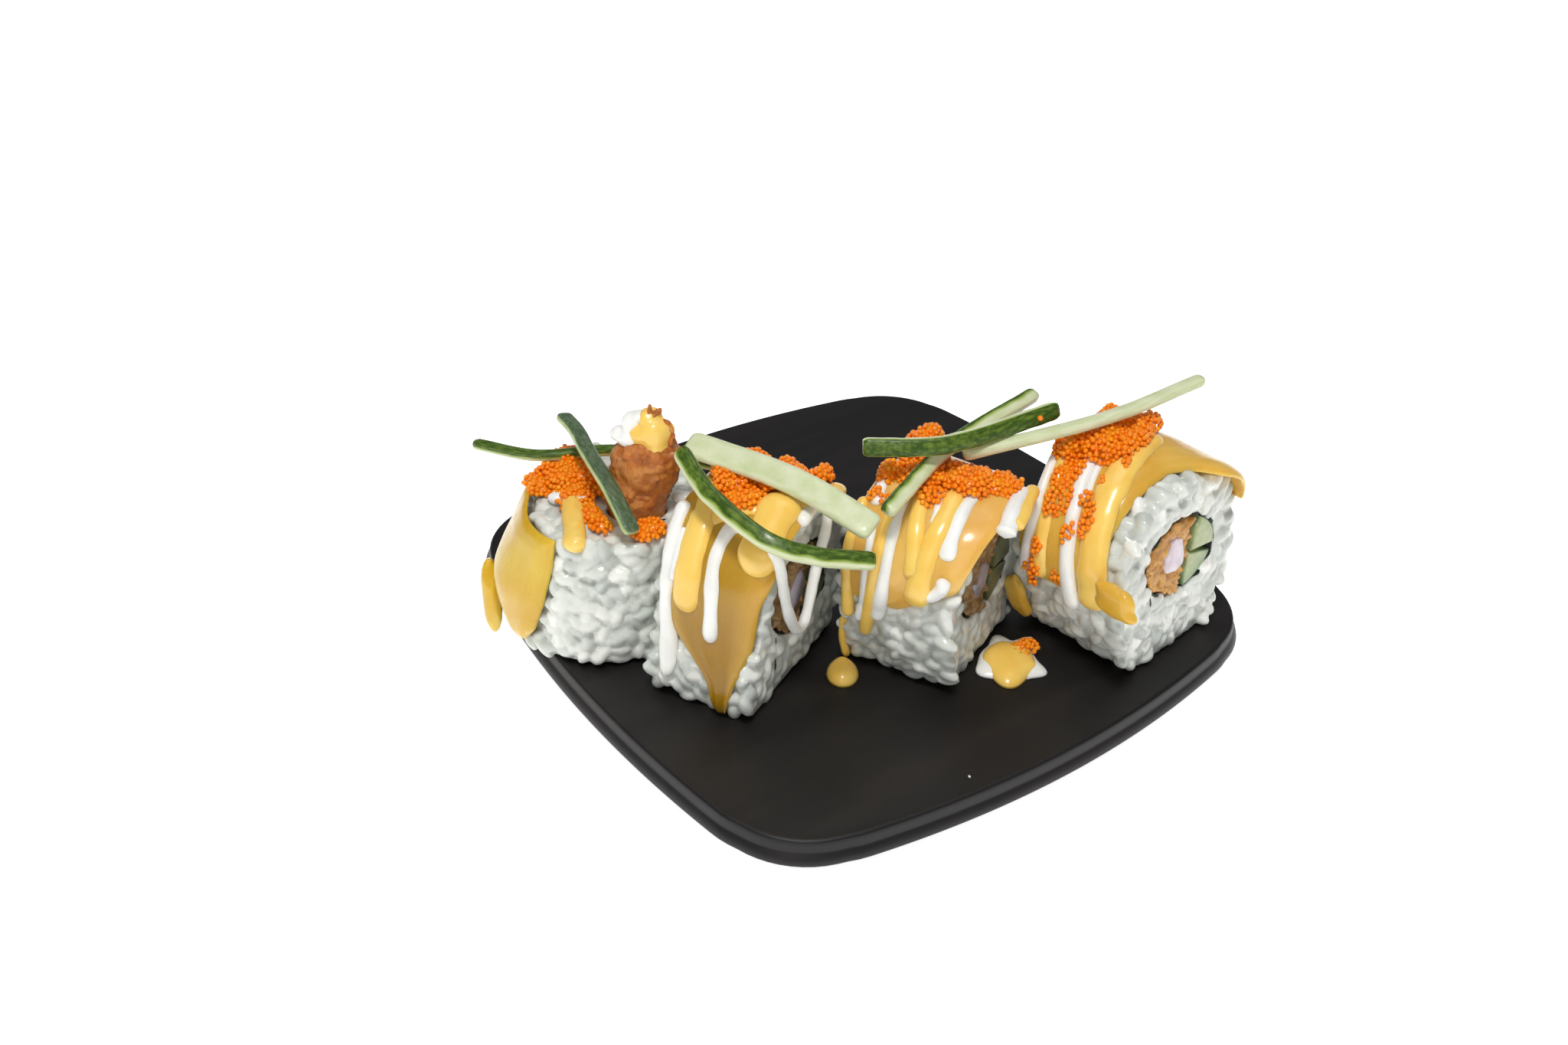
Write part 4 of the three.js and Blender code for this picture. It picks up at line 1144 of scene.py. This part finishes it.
make_mango_end("mango_strip", 1, (-41.5, -19.5), (141, 159), over=4.1, thick=5, shift=0)
make_mango_end("mango_end_1", 4, (-5, 8.6), (163, 179), over=3, thick=4.4, shift=1)
make_mango_end("mango_end_2", 4, (-37, -29.8), (194, 224), over=0.6, thick=3, shift=0.8)


# %% [markdown]
# ## Drizzle
# The sauce was squeezed across the row in zigzags and then ran down. A curve with a round bevel
# would float over a slice or cut through it. So each run is a rod led along a smooth path on the
# roll, flat underneath, round on top and a little fuller at its lower end, where it stopped.

# %% Lead a run of sauce over a roll
ON_RICE = 1.5  # the height of the grains, where a run leaves the slice


def slice_top(number, x, angle):
    """How high the slice's top is at a place, or the rice where the slice has ended."""
    plan = SLICES[number]
    low, high = plan["around"]
    turn = min(max(angle, low), high)
    left, right = along(plan["left"], turn), along(plan["right"], turn)
    u = (x - left) / (right - left)
    past = max(0, angle - high) * DEGREE
    inside = smooth_step(-0.06, 0.06, min(u, 1 - u)) * (1 - smooth_step(-1.5, 1.5, past))
    on_slice = slice_over(ROLLS[number], plan, min(1, max(0, u)), (turn - low) / (high - low), 1)
    return ON_RICE + inside * (on_slice - ON_RICE)


RUN_BULB = 0.15  # how much fuller a run ends
RUN_UNEVEN = 0.16
RUN_SUNK = 0.15


def run_of_sauce(number, path, width, high):
    roll = ROLLS[number]
    points = [Vector((x, angle * DEGREE, 0)) for x, angle in path]
    length = sum((b - a).length for a, b in zip(points, points[1:]))

    def place(point):
        t = eased(point.z)
        here, way = path_point(points, t), path_way(points, t)
        side = Vector((-way.y, way.x, 0))
        close = end_closing(min(t, 1 - t) * length, width / 2)
        swell = 1 + RUN_BULB * smooth_step(0.6, 0.95, t)
        swell *= 1 + RUN_UNEVEN * noise.noise(Vector((t * length * 0.22, width, number * 7)))
        across = point.x * width / 2 * close * swell
        spot = here - side * across
        x, angle = spot.x, spot.y / DEGREE
        base = slice_top(number, here.x, here.y / DEGREE) * 0.75 + slice_top(number, x, angle) * 0.25
        up = point.y ** 0.7 * high * close * swell if point.y > 0 else point.y * 0.9
        return on_roll(roll, x, angle, base + up - RUN_SUNK)

    return warp(rod(18, 52), place)


# %% Runs on the lying pieces: colour, width, height and path as (x, angle)
RUNS = {
    2: [
        ("white", 4.0, 2.4, [(-28, 116), (-27.2, 136), (-26.2, 159), (-26, 182), (-23, 208)]),
        ("white", 2.4, 1.7, [(-25, 130), (-24.4, 144), (-24.8, 160)]),
        ("yellow", 7.2, 2.6, [(-23.6, 98), (-22, 112), (-21.1, 128), (-20.6, 148), (-20, 176)]),
        ("yellow", 6, 2, [(-25, 126), (-19.4, 120), (-14, 110), (-8, 104)]),
        ("white", 4.2, 2.5, [(-11, 119), (-13.4, 126), (-14.2, 142), (-13, 162), (-12.5, 188)]),
        ("white", 3.2, 1.8, [(-9.4, 118), (-11.6, 121), (-14, 130)]),
        ("yellow", 10.4, 4, [(-5.4, 92), (-4.6, 106), (-4, 122), (-3, 144)]),
        ("yellow", 5, 2, [(-1, 66), (-0.8, 82), (-0.2, 100)]),
        ("white", 3, 1.8, [(0.6, 72), (1.4, 90), (2, 108)]),
        ("yellow", 4.6, 2.2, [(1, 56), (2.4, 66), (3.4, 80)]),
    ],
    3: [
        ("yellow", 3, 1.8, [(-30.4, 120), (-30, 148), (-28.8, 172), (-28, 194)]),
        ("white", 3.2, 1.8, [(-28.8, 98), (-27.6, 112), (-26.2, 124)]),
        ("white", 2.4, 1.8, [(-25, 132), (-24, 150), (-23.6, 174), (-24.8, 194)]),
        ("yellow", 3.4, 2, [(-21.4, 122), (-21.4, 150), (-21.8, 174), (-23.2, 204)]),
        ("white", 3.6, 2.1, [(-21, 112), (-19.2, 136), (-18.4, 162), (-20, 190)]),
        ("yellow", 4.4, 2.2, [(-16.6, 108), (-14.8, 124), (-12.6, 140), (-10.6, 156)]),
        ("yellow", 5.8, 2.6, [(-9.4, 96), (-8.2, 118), (-8.8, 142), (-9.4, 171)]),
        ("white", 2.6, 1.8, [(-13, 100), (-11.2, 114), (-9.8, 126)]),
        ("white", 4, 2.1, [(-4.8, 88), (-5, 108), (-4.6, 126), (-3.9, 141)]),
        ("white", 3.2, 2.1, [(-7.4, 148), (-8, 157), (-6, 162), (-3.4, 156), (-3.1, 149)]),
        ("white", 4.4, 2.3, [(4, 72), (5.2, 92), (6.6, 108), (7, 117)]),
        ("yellow", 3.6, 2, [(5.4, 66), (7.2, 84), (8.4, 100), (8.4, 110)]),
    ],
    4: [
        ("white", 3.2, 2.1, [(-36.4, 112), (-33.2, 132), (-30.6, 152), (-30.2, 186)]),
        ("yellow", 4.8, 2, [(-32.4, 112), (-29, 136), (-26.6, 156), (-25, 185)]),
        ("white", 4.6, 2.5, [(-25, 112), (-21.6, 131), (-18.6, 150), (-13.6, 194)]),
        ("yellow", 8.4, 2.6, [(-19.6, 70), (-16.2, 100), (-13.2, 126), (-11.2, 144), (-8.9, 166),
                              (-7, 187)]),
        ("white", 2.4, 1.8, [(-22.6, 110), (-20, 124), (-18, 136)]),
    ],
}


# %% Make the drizzle
def make_drizzle_pieces(number):
    for name, look in (("white", WHITE), ("yellow", YELLOW)):
        shape = bmesh.new()
        for kind, width, high, path in RUNS[number]:
            if kind == name:
                join_to(shape, run_of_sauce(number, path, width, high))
        finish_piece(f"{name}_drizzle_{number}", shape, look)


for number in RUNS:
    make_drizzle_pieces(number)


# %% A free strand of sauce through the air, and the loop in front of the second piece
def strand(points, thick, steps=40):
    length = sum((b - a).length for a, b in zip(points, points[1:]))

    def place(point):
        t = eased(point.z)
        here, way = path_point(points, t), path_way(points, t)
        side = way.orthogonal() if abs(way.x) > 0.999 else way.cross(Vector((1, 0, 0)))
        side.normalize()
        over = side.cross(way)
        close = end_closing(min(t, 1 - t) * length, thick)
        girth = thick * close * (1 + 0.15 * noise.noise(here * 0.3))
        return here + side * point.x * girth + over * point.y * girth

    return warp(rod(10, steps), place)


LOOP_THICK = 1.45
LOOP = [(0.8, -21.4, 50), (2.8, -20.6, 45), (3.2, -18.4, 35), (3.2, -15.4, 26.5), (3.2, -11.4, 19.6),
        (3.2, -7.4, 18.4), (3.2, -4.8, 21.6), (3.2, -2.2, 28.5), (3.2, 0.7, 35), (3, 4.6, 40.9),
        (1.6, 7.6, 45), (-1, 9.4, 48.4)]
loop = strand([in_roll(ROLLS[2], *point) for point in LOOP], LOOP_THICK, steps=70)
finish_piece("white_loop", loop, WHITE)


# %% [markdown]
# ## Roe
# A spoonful of flying-fish roe is a loose heap of round eggs, hundreds of them, most unseen.
# Filling a heap with eggs would cost far more than its skin shows. So each heap is a few mounds
# with uneven edges. A smooth dome of the same colour lies under each, and eggs are spread over
# them so that they nearly touch. Flat patches that slid down are mounds one egg high.

# %% Mounds: two numbers for the place, then half length, half width and height
# The place is (x, angle) on a lying piece, and (y, z) on top of the upright one.
EGG = 0.72
EGG_SPACING = 1.14
NO_DOME = 1.7  # a lower mound has no dome under its eggs
MOUNDS = {
    1: [(-3.8, 10.5, 9.6, 11, 5.8), (-7.6, 2.5, 5.6, 7.5, 3.6), (-8.2, -8, 2.8, 8.4, 2.4),
        (1, 18, 6, 5.5, 3.6), (1.6, 0.6, 4.6, 4, 3.6), (-12.6, 12, 3.6, 5, 2.8)],
    2: [(-19.5, 88, 6.5, 9, 5.6), (-10, 80, 6.6, 8, 4.8), (-3.4, 66, 3.8, 4.2, 3.4),
        (-14.6, 104, 5, 4.4, 2.6)],
    3: [(-23.6, 76, 6, 6.5, 8.4), (-20, 95, 6.4, 5.6, 4), (-9.6, 89, 9, 6, 3.8),
        (-1.2, 80, 5, 5, 2.9), (-27.4, 100, 3.6, 4, 2.6), (-14, 110, 3, 2.6, 1.6),
        (-28, 118, 1.6, 1.6, 1.2), (-24.6, 119, 1.4, 1.2, 1.1)],
    4: [(-28, 90, 9.8, 11.5, 6), (-21, 96, 5.4, 7, 4.4), (-32, 110, 5, 5.4, 3.4),
        (-27, 127, 3.6, 4.4, 1.8), (-25, 141, 3.8, 3.6, 1.4), (-18, 134, 1.6, 1.4, 1.1),
        (-14.8, 143, 2.4, 3.8, 1.4), (-18.4, 152, 1.5, 2.2, 1.1), (-26.6, 166, 1.8, 1.6, 1.1),
        (-27, 181, 2.4, 3.4, 1.5), (-19.4, 178, 1.7, 2, 1.2), (-14.6, 109, 1.2, 1, 1),
        (-17, 122, 1.1, 0.9, 1)],
}
PATCH = [(0.5, -22.4, 5.2, 3.7, 3)]


def edge_reach(plan, turn, seed):
    """How far an uneven mound reaches in one direction."""
    _, _, long, wide, _ = plan
    oval = 1 / math.hypot(math.cos(turn) / long, math.sin(turn) / wide)
    bumps = noise.noise(Vector((math.cos(turn) * 1.7, math.sin(turn) * 1.7, seed)))
    return oval * (1 + 0.3 * bumps)


def mound_point(number, plan, share, turn, seed, up):
    """A place on a mound, and how high its ground lies over the roll."""
    reach = edge_reach(plan, turn, seed) * share
    p, q = reach * math.cos(turn), reach * math.sin(turn)
    if ROLLS[number]["upright"]:
        return ROLLS[number]["place"] @ Vector((0.4 + up, plan[0] + p, plan[1] + q))
    x, angle = plan[0] + p, plan[1] + q / DEGREE
    ground = max(1.2, slice_top(number, x, angle) + run_height(number, x, angle))
    return on_roll(ROLLS[number], x, angle, ground + up)


def mound_height(plan, share, turn, seed):
    lumps = noise.noise(Vector((share * math.cos(turn) * 2.6, share * math.sin(turn) * 2.6, seed)))
    return plan[4] * (1 + 0.3 * lumps) * math.sqrt(max(0, 1 - share ** 2.2))


# %% Make a dome and the eggs on it
DOME_SHARE = 0.9  # of the mound's reach, so that eggs hide the dome's edge
EGGS_TRIED = 9  # for each square millimetre


def dome(number, plan, seed):
    def place(point):
        share = min(1, math.hypot(point.x, point.y))
        turn = math.atan2(point.y, point.x)
        up = mound_height(plan, share, turn, seed) - EGG * 0.12 if point.z > 0.01 else 0
        return mound_point(number, plan, share * DOME_SHARE, turn, seed, max(0.05, up))

    return warp(ball(28, 14), place)


def egg_spots(number, plan, seed, draw):
    """Candidates all over a mound; a third of them are moved out towards its edge."""
    spots = []
    size = plan[2] * plan[3] * math.pi + plan[4] * (plan[2] + plan[3]) * 2
    for _ in range(round(size * EGGS_TRIED)):
        turn, share = draw.uniform(0, math.tau), draw.random() ** 0.5
        if draw.random() < 0.35:
            share = 1 - (1 - share) * 0.35
        up = mound_height(plan, share, turn, seed) + 0.5 * draw.random() ** 3 - 0.2
        spots.append((mound_point(number, plan, share, turn, seed, max(up, EGG * 0.6)),))
    return spots


def egg(shape, draw, spot):
    radius = EGG * draw.uniform(0.86, 1.1)
    matrix = Matrix.Translation(spot)
    return bmesh.ops.create_icosphere(shape, subdivisions=2, radius=radius, matrix=matrix)["verts"]


def run_height(number, x, angle):
    """The height of the drizzle at a place, so that eggs lie on it and not in it."""
    best = 0.0
    here = Vector((x, angle * DEGREE, 0))
    for _, width, high, path in RUNS[number]:
        if not min(p[0] for p in path) - width < x < max(p[0] for p in path) + width:
            continue
        points = [Vector((px, pa * DEGREE, 0)) for px, pa in path]
        nearest = min((path_point(points, i / 16) - here).length for i in range(17))
        if nearest < width / 2:
            best = max(best, high * math.sqrt(1 - (nearest / (width / 2)) ** 2))
    return best


# %% Make the roe
def make_roe_piece(name, number, plans, node):
    draw = random.Random(300 + number + len(name))
    shape, spots = bmesh.new(), []
    shape.verts.layers.float.new("tone")
    for index, plan in enumerate(plans):
        seed = number * 3.3 + index * 1.7
        if plan[4] > NO_DOME:
            join_to(shape, dome(number, plan, seed))
        spots += egg_spots(number, plan, seed, draw)
    eggs = spread(spots, EGG_SPACING)
    tone = shape.verts.layers.float["tone"]
    for vert in shape.verts:
        vert[tone] = 0.6
    scatter(shape, eggs, egg, draw)
    print(f"{name}: {len(eggs)} eggs")
    return finish_piece(name, shape, ROE, [node] if node else [])


for number, plans in MOUNDS.items():
    make_roe_piece(f"roe_heap_{number}", number, plans, f"roe_{number}")
make_roe_piece("roe_on_rim", 1, PATCH, "roe_patch")


# %% [markdown]
# ## The prawn that stands up
# The upright piece is the end of the roll, and the prawn's fried tail stands out of it. Its
# body is a tapered rod, roughened by noise in two sizes. Noise alone looks like clay, so flakes
# of crumb are stuck all over it and melted in, and a few more cling to the sauce on its tip.

# %% Make the standing prawn
TAIL_RISE = 22
TAIL_FOOT = -38
TAIL_HALF = (8.8, 6.6)
TAIL_SWAY = 0.12
GIRTH = [(TAIL_FOOT, 0.86), (-1, 0.86), (4, 0.88), (10, 0.97), (15, 1.02), (18, 0.94),
         (20.5, 0.74), (TAIL_RISE, 0.46)]
TIP_CRUMBS = [(-5.6, -57.2, 72.4), (-5.2, -57, 70.6), (-6.6, -57.6, 74), (-8.2, -59.4, 76.4),
              (-9.6, -60.8, 76.9), (-5.4, -57.2, 69)]


def tail_spot(x, turn, over):
    """A place on the standing prawn, over its skin: x is the height above the rice."""
    roll = ROLLS[1]
    girth = along(GIRTH, x)
    u = TAIL_HALF[0] * girth * math.cos(turn) + over * math.cos(turn)
    v = TAIL_HALF[1] * girth * math.sin(turn) + over * math.sin(turn)
    y0, z0 = roll["ring"][0]
    c, s = ring_axes(roll)
    sway = max(0, x) * TAIL_SWAY
    return roll["place"] @ Vector((x, y0 + sway * 1.3 + u * c - v * s, z0 - sway + u * s + v * c))


def make_tail():
    draw = random.Random(61)
    shape = rod(48, 60)
    shape.verts.layers.float.new("tone")
    for vert in shape.verts:
        x = TAIL_FOOT + (TAIL_RISE - TAIL_FOOT) * vert.co.z
        turn = math.atan2(vert.co.y, vert.co.x)
        spot = tail_spot(x, turn, 0)
        lump = noise.noise(spot * 0.22) * 1.3 + noise.noise(spot * 0.7) * 0.5
        vert.co = tail_spot(x, turn, lump if x > -1 else 0)
    candidates = []
    for _ in range(1500):
        x, turn = draw.uniform(-2, TAIL_RISE - 1), draw.uniform(0, math.tau)
        spot = tail_spot(x, turn, draw.uniform(-0.75, -0.25))
        outward = (tail_spot(x, turn, 2) - tail_spot(x, turn, 0)).normalized()
        candidates.append((spot, outward, draw.uniform(0.8, 1.5)))
    crumbs = spread(candidates, 1.5)
    crumbs += [(Vector(spot), Vector((0.6, -0.4, 0.7)), 1.3) for spot in TIP_CRUMBS]
    scatter(shape, crumbs, crumb, draw)
    shape = fused(shape, CRUST_GRID, 2)
    tone_by_nearest(shape, [item[0] for item in crumbs], draw)
    return finish_piece("prawn_tail", shape, TAIL_CRUST, ["prawn_1"])


make_tail()


# %% [markdown]
# ## Sauce on the prawn's tip and on the board
# Dollops are thick sauce that sank under its own weight. Metaballs would melt them together, but
# their sizes are hard to set, so balls are stretched to measure, stirred a little by noise and
# melted with the same skin as the rice. The drops on the board are flat domes with lobes.

# %% Dollops
STIRRED = 0.12
SAUCE_GRID = 0.3


def dollop(middle, half):
    def place(point):
        lump = 1 + STIRRED * noise.noise(point * 1.3 + middle * 0.37)
        return middle + Vector((point.x * half[0], point.y * half[1], point.z * half[2])) * lump

    return warp(ball(28, 16), place)


def blob(name, look, plans):
    """A few dollops, each a middle and three half-sizes, melted into one."""
    shape = bmesh.new()
    for middle, half in plans:
        join_to(shape, dollop(Vector(middle), half))
    return finish_piece(name, fused(shape, SAUCE_GRID, 8), look)


# %% Sauce on the prawn's tip, on its side that faces the camera
NEARER = Vector((3.4, -1.9, 2.3))
TIP_WHITE = [((-16.6, -62.4, 66.6), (3.6, 4, 2.6)), ((-18.6, -64.4, 67.2), (2.6, 2.6, 1.8)),
             ((-16.6, -61.8, 70.4), (2.8, 3, 3)), ((-15.2, -60.4, 72.4), (2.2, 2.4, 1.4))]
TIP_YELLOW = [((-13.8, -58.2, 72), (3, 3.4, 2.6)), ((-11.4, -58.2, 68.4), (3.4, 4.4, 4.4)),
              ((-10.4, -58.2, 65.4), (2.4, 3.2, 2.4)), ((-10.6, -55.4, 69.2), (2.2, 2.2, 2)),
              ((-14, -60, 68), (4, 4, 3.4))]
blob("tip_sauce_white", WHITE, [(Vector(at) + NEARER, half) for at, half in TIP_WHITE])
blob("tip_sauce_yellow", YELLOW, [(Vector(at) + NEARER, half) for at, half in TIP_YELLOW])


# %% Sauce at the rim of the upright piece: in front, and behind the prawn
def on_rim(y, z, up):
    return ROLLS[1]["place"] @ Vector((up, y, z))


def drip(t):
    """One dollop of the drip in front, at a share of its way from the top to its end."""
    return (-9.8 - 7.2 * t, -1.5 - 14.5 * t, 1.7 - 1.2 * t * t), (2.8 + 0.6 * t, 3, 1.9 + 0.5 * t)


DRIP_STEPS = 9
front_yellow = [drip(i / DRIP_STEPS) for i in range(DRIP_STEPS + 1)]
front_white = [((-11.6, 3.2, 1.5), (2.2, 2.6, 1.5)), ((-8, -1.6, 2), (2.2, 2.6, 1.3))]
back_white = [((15.2, -13.4, 1.2), (2, 2, 1.5)), ((17.4, -14.8, 1), (1.7, 1.7, 1.4)),
              ((12, -9.2, 2.5), (1.1, 1.2, 3.4)), ((11.4, -8, 7), (0.9, 1, 4))]
blob("rim_sauce_yellow", YELLOW, [(on_rim(*at), half) for at, half in front_yellow])
blob("rim_sauce_white", WHITE, [(on_rim(*at), half) for at, half in front_white + back_white])


# %% Drops on the board
def drop(middle, half, turn, lobes, high):
    """A flat dome with lobes, each an angle, a reach and a spread."""
    spin = Matrix.Rotation(math.radians(turn), 2)

    def place(point):
        share = math.hypot(point.x, point.y)
        angle = math.degrees(math.atan2(point.y, point.x))
        swell = 1 + sum(reach * math.exp(-((turned_from(angle, at) / wide) ** 2))
                        for at, reach, wide in lobes)
        flat = spin @ Vector((point.x * half[0] * swell, point.y * half[1] * swell))
        up = high * math.sqrt(max(0, 1 - share ** 2.6)) if point.z > 0 else 0
        return Vector((middle[0] + flat.x, middle[1] + flat.y, BOARD_TOP + 0.1 + up))

    return warp(ball(56, 16), place)


drop_one = drop((35.7, -31), (4.3, 5.2), 54, [(90, 0.2, 30)], 3.4)
FALL = [Vector(point) for point in ((30.2, -25.4, 10), (30.6, -26.6, 13), (30.4, -27.4, 17),
                                    (30.6, -27.6, 24))]
join_to(drop_one, strand(FALL, 1.1))
finish_piece("yellow_drop", drop_one, YELLOW, ["sauce_drop_1"])
LOBED = (56.5, 9)
drop_white = drop(LOBED, (8, 8), 0,
                  [(153, 0.5, 17), (264, 0.28, 20), (108, 0.72, 16), (30, 0.36, 18)], 2.2)
finish_piece("drop_white", drop_white, WHITE, ["sauce_drop_2"])
drop_yellow = drop(LOBED, (7.4, 7.4), 0,
                   [(-42, 0.46, 28), (153, 0.14, 22), (108, 0.34, 18), (30, 0.14, 18)], 3.2)
finish_piece("drop_yellow", drop_yellow, YELLOW)
blob("white_crumb", WHITE, [((83.6, -28.7, BOARD_TOP + 0.3), (0.7, 0.5, 0.5))])


# %% A few eggs that fell: on the lobed drop, and one on a stick
FALLEN = dict(at=(55.9, 15.4), half=(3, 4), low=2.3, high=0.9)
STICK_EGG = (42.2, 24, 73)


def make_fallen_roe():
    draw = random.Random(77)
    spots = []
    for _ in range(900):
        turn, out = draw.uniform(0, math.tau), math.sqrt(draw.random())
        x = FALLEN["at"][0] + FALLEN["half"][0] * out * math.cos(turn)
        y = FALLEN["at"][1] + FALLEN["half"][1] * out * math.sin(turn)
        up = FALLEN["low"] + FALLEN["high"] * (1 - out) + 0.3 * draw.random()
        spots.append((Vector((x, y, BOARD_TOP + up)),))
    eggs = spread(spots, EGG_SPACING * 0.9)
    eggs.append((Vector(STICK_EGG),))
    shape = bmesh.new()
    shape.verts.layers.float.new("tone")
    scatter(shape, eggs, egg, draw)
    return finish_piece("fallen_roe", shape, ROE)


make_fallen_roe()


# %% [markdown]
# ## Cucumber sticks
# Each stick is a thin strip cut from the side of a cucumber, so one face is skin and the rest
# is flesh. Two materials would meet in a hard line, where the real skin fades into pale green.
# So a rod follows the strip's middle line with an oblong section, and a mask on the vertices
# says how near each is to the skin.

# %% Each stick: width, depth, turn about its line, direction of the skin, and its middle line
# The last two numbers before the line are degrees; heights on the line are over the board.
STICKS = {
    "stick_1": (3, 2.8, 0, 60, [(-56.4, -88.3, 44), (-41, -77.4, 44.5), (-30.4, -61, 46),
                                (-12.6, -52.2, 50), (3.3, -47.4, 53.6)]),
    "stick_2": (4.6, 2.4, -12, 90, [(-43.5, -67.8, 52.5), (-35.2, -68.3, 52), (-24.4, -70.8, 51.6),
                                    (-8, -73.4, 49.6), (3.6, -74.4, 43.8)]),
    "stick_3": (7.4, 3, 24, 250, [(-4.9, -52.2, 58), (22.7, -39.8, 57), (45.3, -31.9, 52.6)]),
    "stick_4": (4.6, 3, 40, 136, [(2.8, -59.5, 62), (17.7, -60.9, 58), (36, -57, 53.5),
                                 (44, -48, 50), (50, -35, 47)]),
    "stick_5": (4.8, 3.4, 68, 90, [(25.4, -20.1, 61.4), (36.6, -1, 61.8), (39.8, 32.3, 62.8)]),
    "stick_6": (4.2, 3.2, 20, 166, [(42, -25.2, 53.4), (30.8, 4.6, 56.5), (25.1, 39, 58.6)]),
    "stick_7": (3.6, 3, 0, 250, [(36.6, 4, 57), (49.6, 40, 62.5), (54.3, 70.4, 67)]),
}
PALE_STICKS = ("stick_3", "stick_7")
SQUARE = 0.62  # 1 would be an oval section, 0 a block


# %% Make the sticks
def make_stick(name, width, deep, spin, skin_side, path):
    points = [Vector((x, y, z + BOARD_TOP)) for x, y, z in path]
    shape = rod(20, 70)
    skin = shape.verts.layers.float.new("skin")
    fibre = shape.verts.layers.float_vector.new("fibre")
    for vert in shape.verts:
        t, turn = vert.co.z, math.atan2(vert.co.y, vert.co.x)
        here, way = path_point(points, t), path_way(points, t)
        side = way.cross(Vector((0, 0, 1))).normalized()
        over = side.cross(way)
        tilt = Matrix.Rotation(math.radians(spin), 3, way)
        side, over = tilt @ side, tilt @ over
        a = math.copysign(abs(math.cos(turn)) ** SQUARE, math.cos(turn)) * width / 2
        b = math.copysign(abs(math.sin(turn)) ** SQUARE, math.sin(turn)) * deep / 2
        end = min(t, 1 - t) * (points[-1] - points[0]).length
        soft = 0.8 + 0.2 * smooth_step(0, 1.2, end)
        wobble = 0.12 * noise.noise(here * 0.25)
        outer = math.cos(turn - math.radians(skin_side)) + wobble
        if name in PALE_STICKS:
            vert[skin] = 0.3 * smooth_step(0.2, 1, outer)
        else:
            vert[skin] = smooth_step(-0.1, 1, outer)
        vert[fibre] = Vector((t * 14, math.cos(turn) * 1.6, math.sin(turn) * 1.6))
        vert.co = here + side * (a * soft + wobble) + over * (b * soft + wobble)
    look = BLOOM_CUCUMBER if name == "stick_2" else CUCUMBER
    return finish_piece(f"cucumber_{name}", shape, look, [name])


for name, (width, deep, spin, skin_side, path) in STICKS.items():
    make_stick(name, width, deep, spin, skin_side, path)


# %% [markdown]
# ## Studio
# The object stands on white, lit softly from above the lens, with short shadows and small, sharp
# highlights on everything wet. One small lamp would give the highlights but leave the shadows
# black, and big lamps alone would lose the highlights. So a small lamp does most of the work, a
# big weak one beside the camera and one from the far side lift the shadows, and the pale floor
# glows a little, so that it stays white up to the edge of the picture.

# %% Floor
FLOOR_GLOW = 0.85
FLOOR_BELOW = 0.0002


def make_floor():
    shape = bmesh.new()
    bmesh.ops.create_grid(shape, x_segments=1, y_segments=1, size=3)
    mesh = bpy.data.meshes.new("floor")
    shape.to_mesh(mesh)
    shape.free()
    floor = bpy.data.objects.new("floor", mesh)
    bpy.context.scene.collection.objects.link(floor)
    material = bpy.data.materials.new("floor_paper")
    material.use_nodes = True
    shader = material.node_tree.nodes["Principled BSDF"]
    shader.inputs["Base Color"].default_value = (0.92, 0.92, 0.92, 1)
    shader.inputs["Roughness"].default_value = 0.9
    shader.inputs["Specular IOR Level"].default_value = 0.0
    shader.inputs["Emission Color"].default_value = (1, 1, 1, 1)
    shader.inputs["Emission Strength"].default_value = FLOOR_GLOW
    mesh.materials.append(material)
    floor.location.z = -FLOOR_BELOW


make_floor()

# %% Camera, at the photograph's viewing angle
CAMERA_PLACE = Vector((0.26535, -0.21981, 0.25588))
CAMERA_AZIMUTH = math.radians(53.756)
CAMERA_ELEVATION = math.radians(33.807)
CAMERA_ROLL = math.radians(1.537)
CAMERA_LENS = 33.37


def make_camera():
    az, el = CAMERA_AZIMUTH, CAMERA_ELEVATION
    back = Vector((math.sin(az) * math.cos(el), -math.cos(az) * math.cos(el), math.sin(el)))
    right = Vector((math.cos(az), math.sin(az), 0))
    up = back.cross(right)
    level = right * math.cos(CAMERA_ROLL) + up * math.sin(CAMERA_ROLL)
    upward = up * math.cos(CAMERA_ROLL) - right * math.sin(CAMERA_ROLL)
    turn = Matrix((level, upward, back)).transposed().to_4x4()
    data = bpy.data.cameras.new("camera")
    data.lens = CAMERA_LENS
    data.sensor_width = 36
    data.clip_start = 0.01
    camera = bpy.data.objects.new("camera", data)
    bpy.context.scene.collection.objects.link(camera)
    camera.matrix_world = Matrix.Translation(CAMERA_PLACE) @ turn
    bpy.context.scene.camera = camera


make_camera()


# %% Lights
LIT_POINT = Vector((0, 0, 0.03))


def area_light(name, place, size, power):
    """A round lamp aimed at the middle of the row; place and size are in metres."""
    data = bpy.data.lights.new(name, "AREA")
    data.shape = "DISK"
    data.size = size
    data.energy = power
    lamp = bpy.data.objects.new(name, data)
    bpy.context.scene.collection.objects.link(lamp)
    lamp.location = place
    lamp.rotation_euler = (LIT_POINT - Vector(place)).to_track_quat("-Z", "Y").to_euler()


area_light("key", (0.2, -0.2, 0.72), 0.14, 3.1)
area_light("fill", (0.5, -0.5, 0.45), 0.5, 0.75)
area_light("top", (-0.2, 0.2, 0.9), 0.5, 1.1)
world = bpy.data.worlds.new("studio")
world.use_nodes = True
world.node_tree.nodes["Background"].inputs["Color"].default_value = (0.97, 0.98, 1, 1)
world.node_tree.nodes["Background"].inputs["Strength"].default_value = 0.2
bpy.context.scene.world = world
bpy.context.scene.view_settings.view_transform = "Standard"
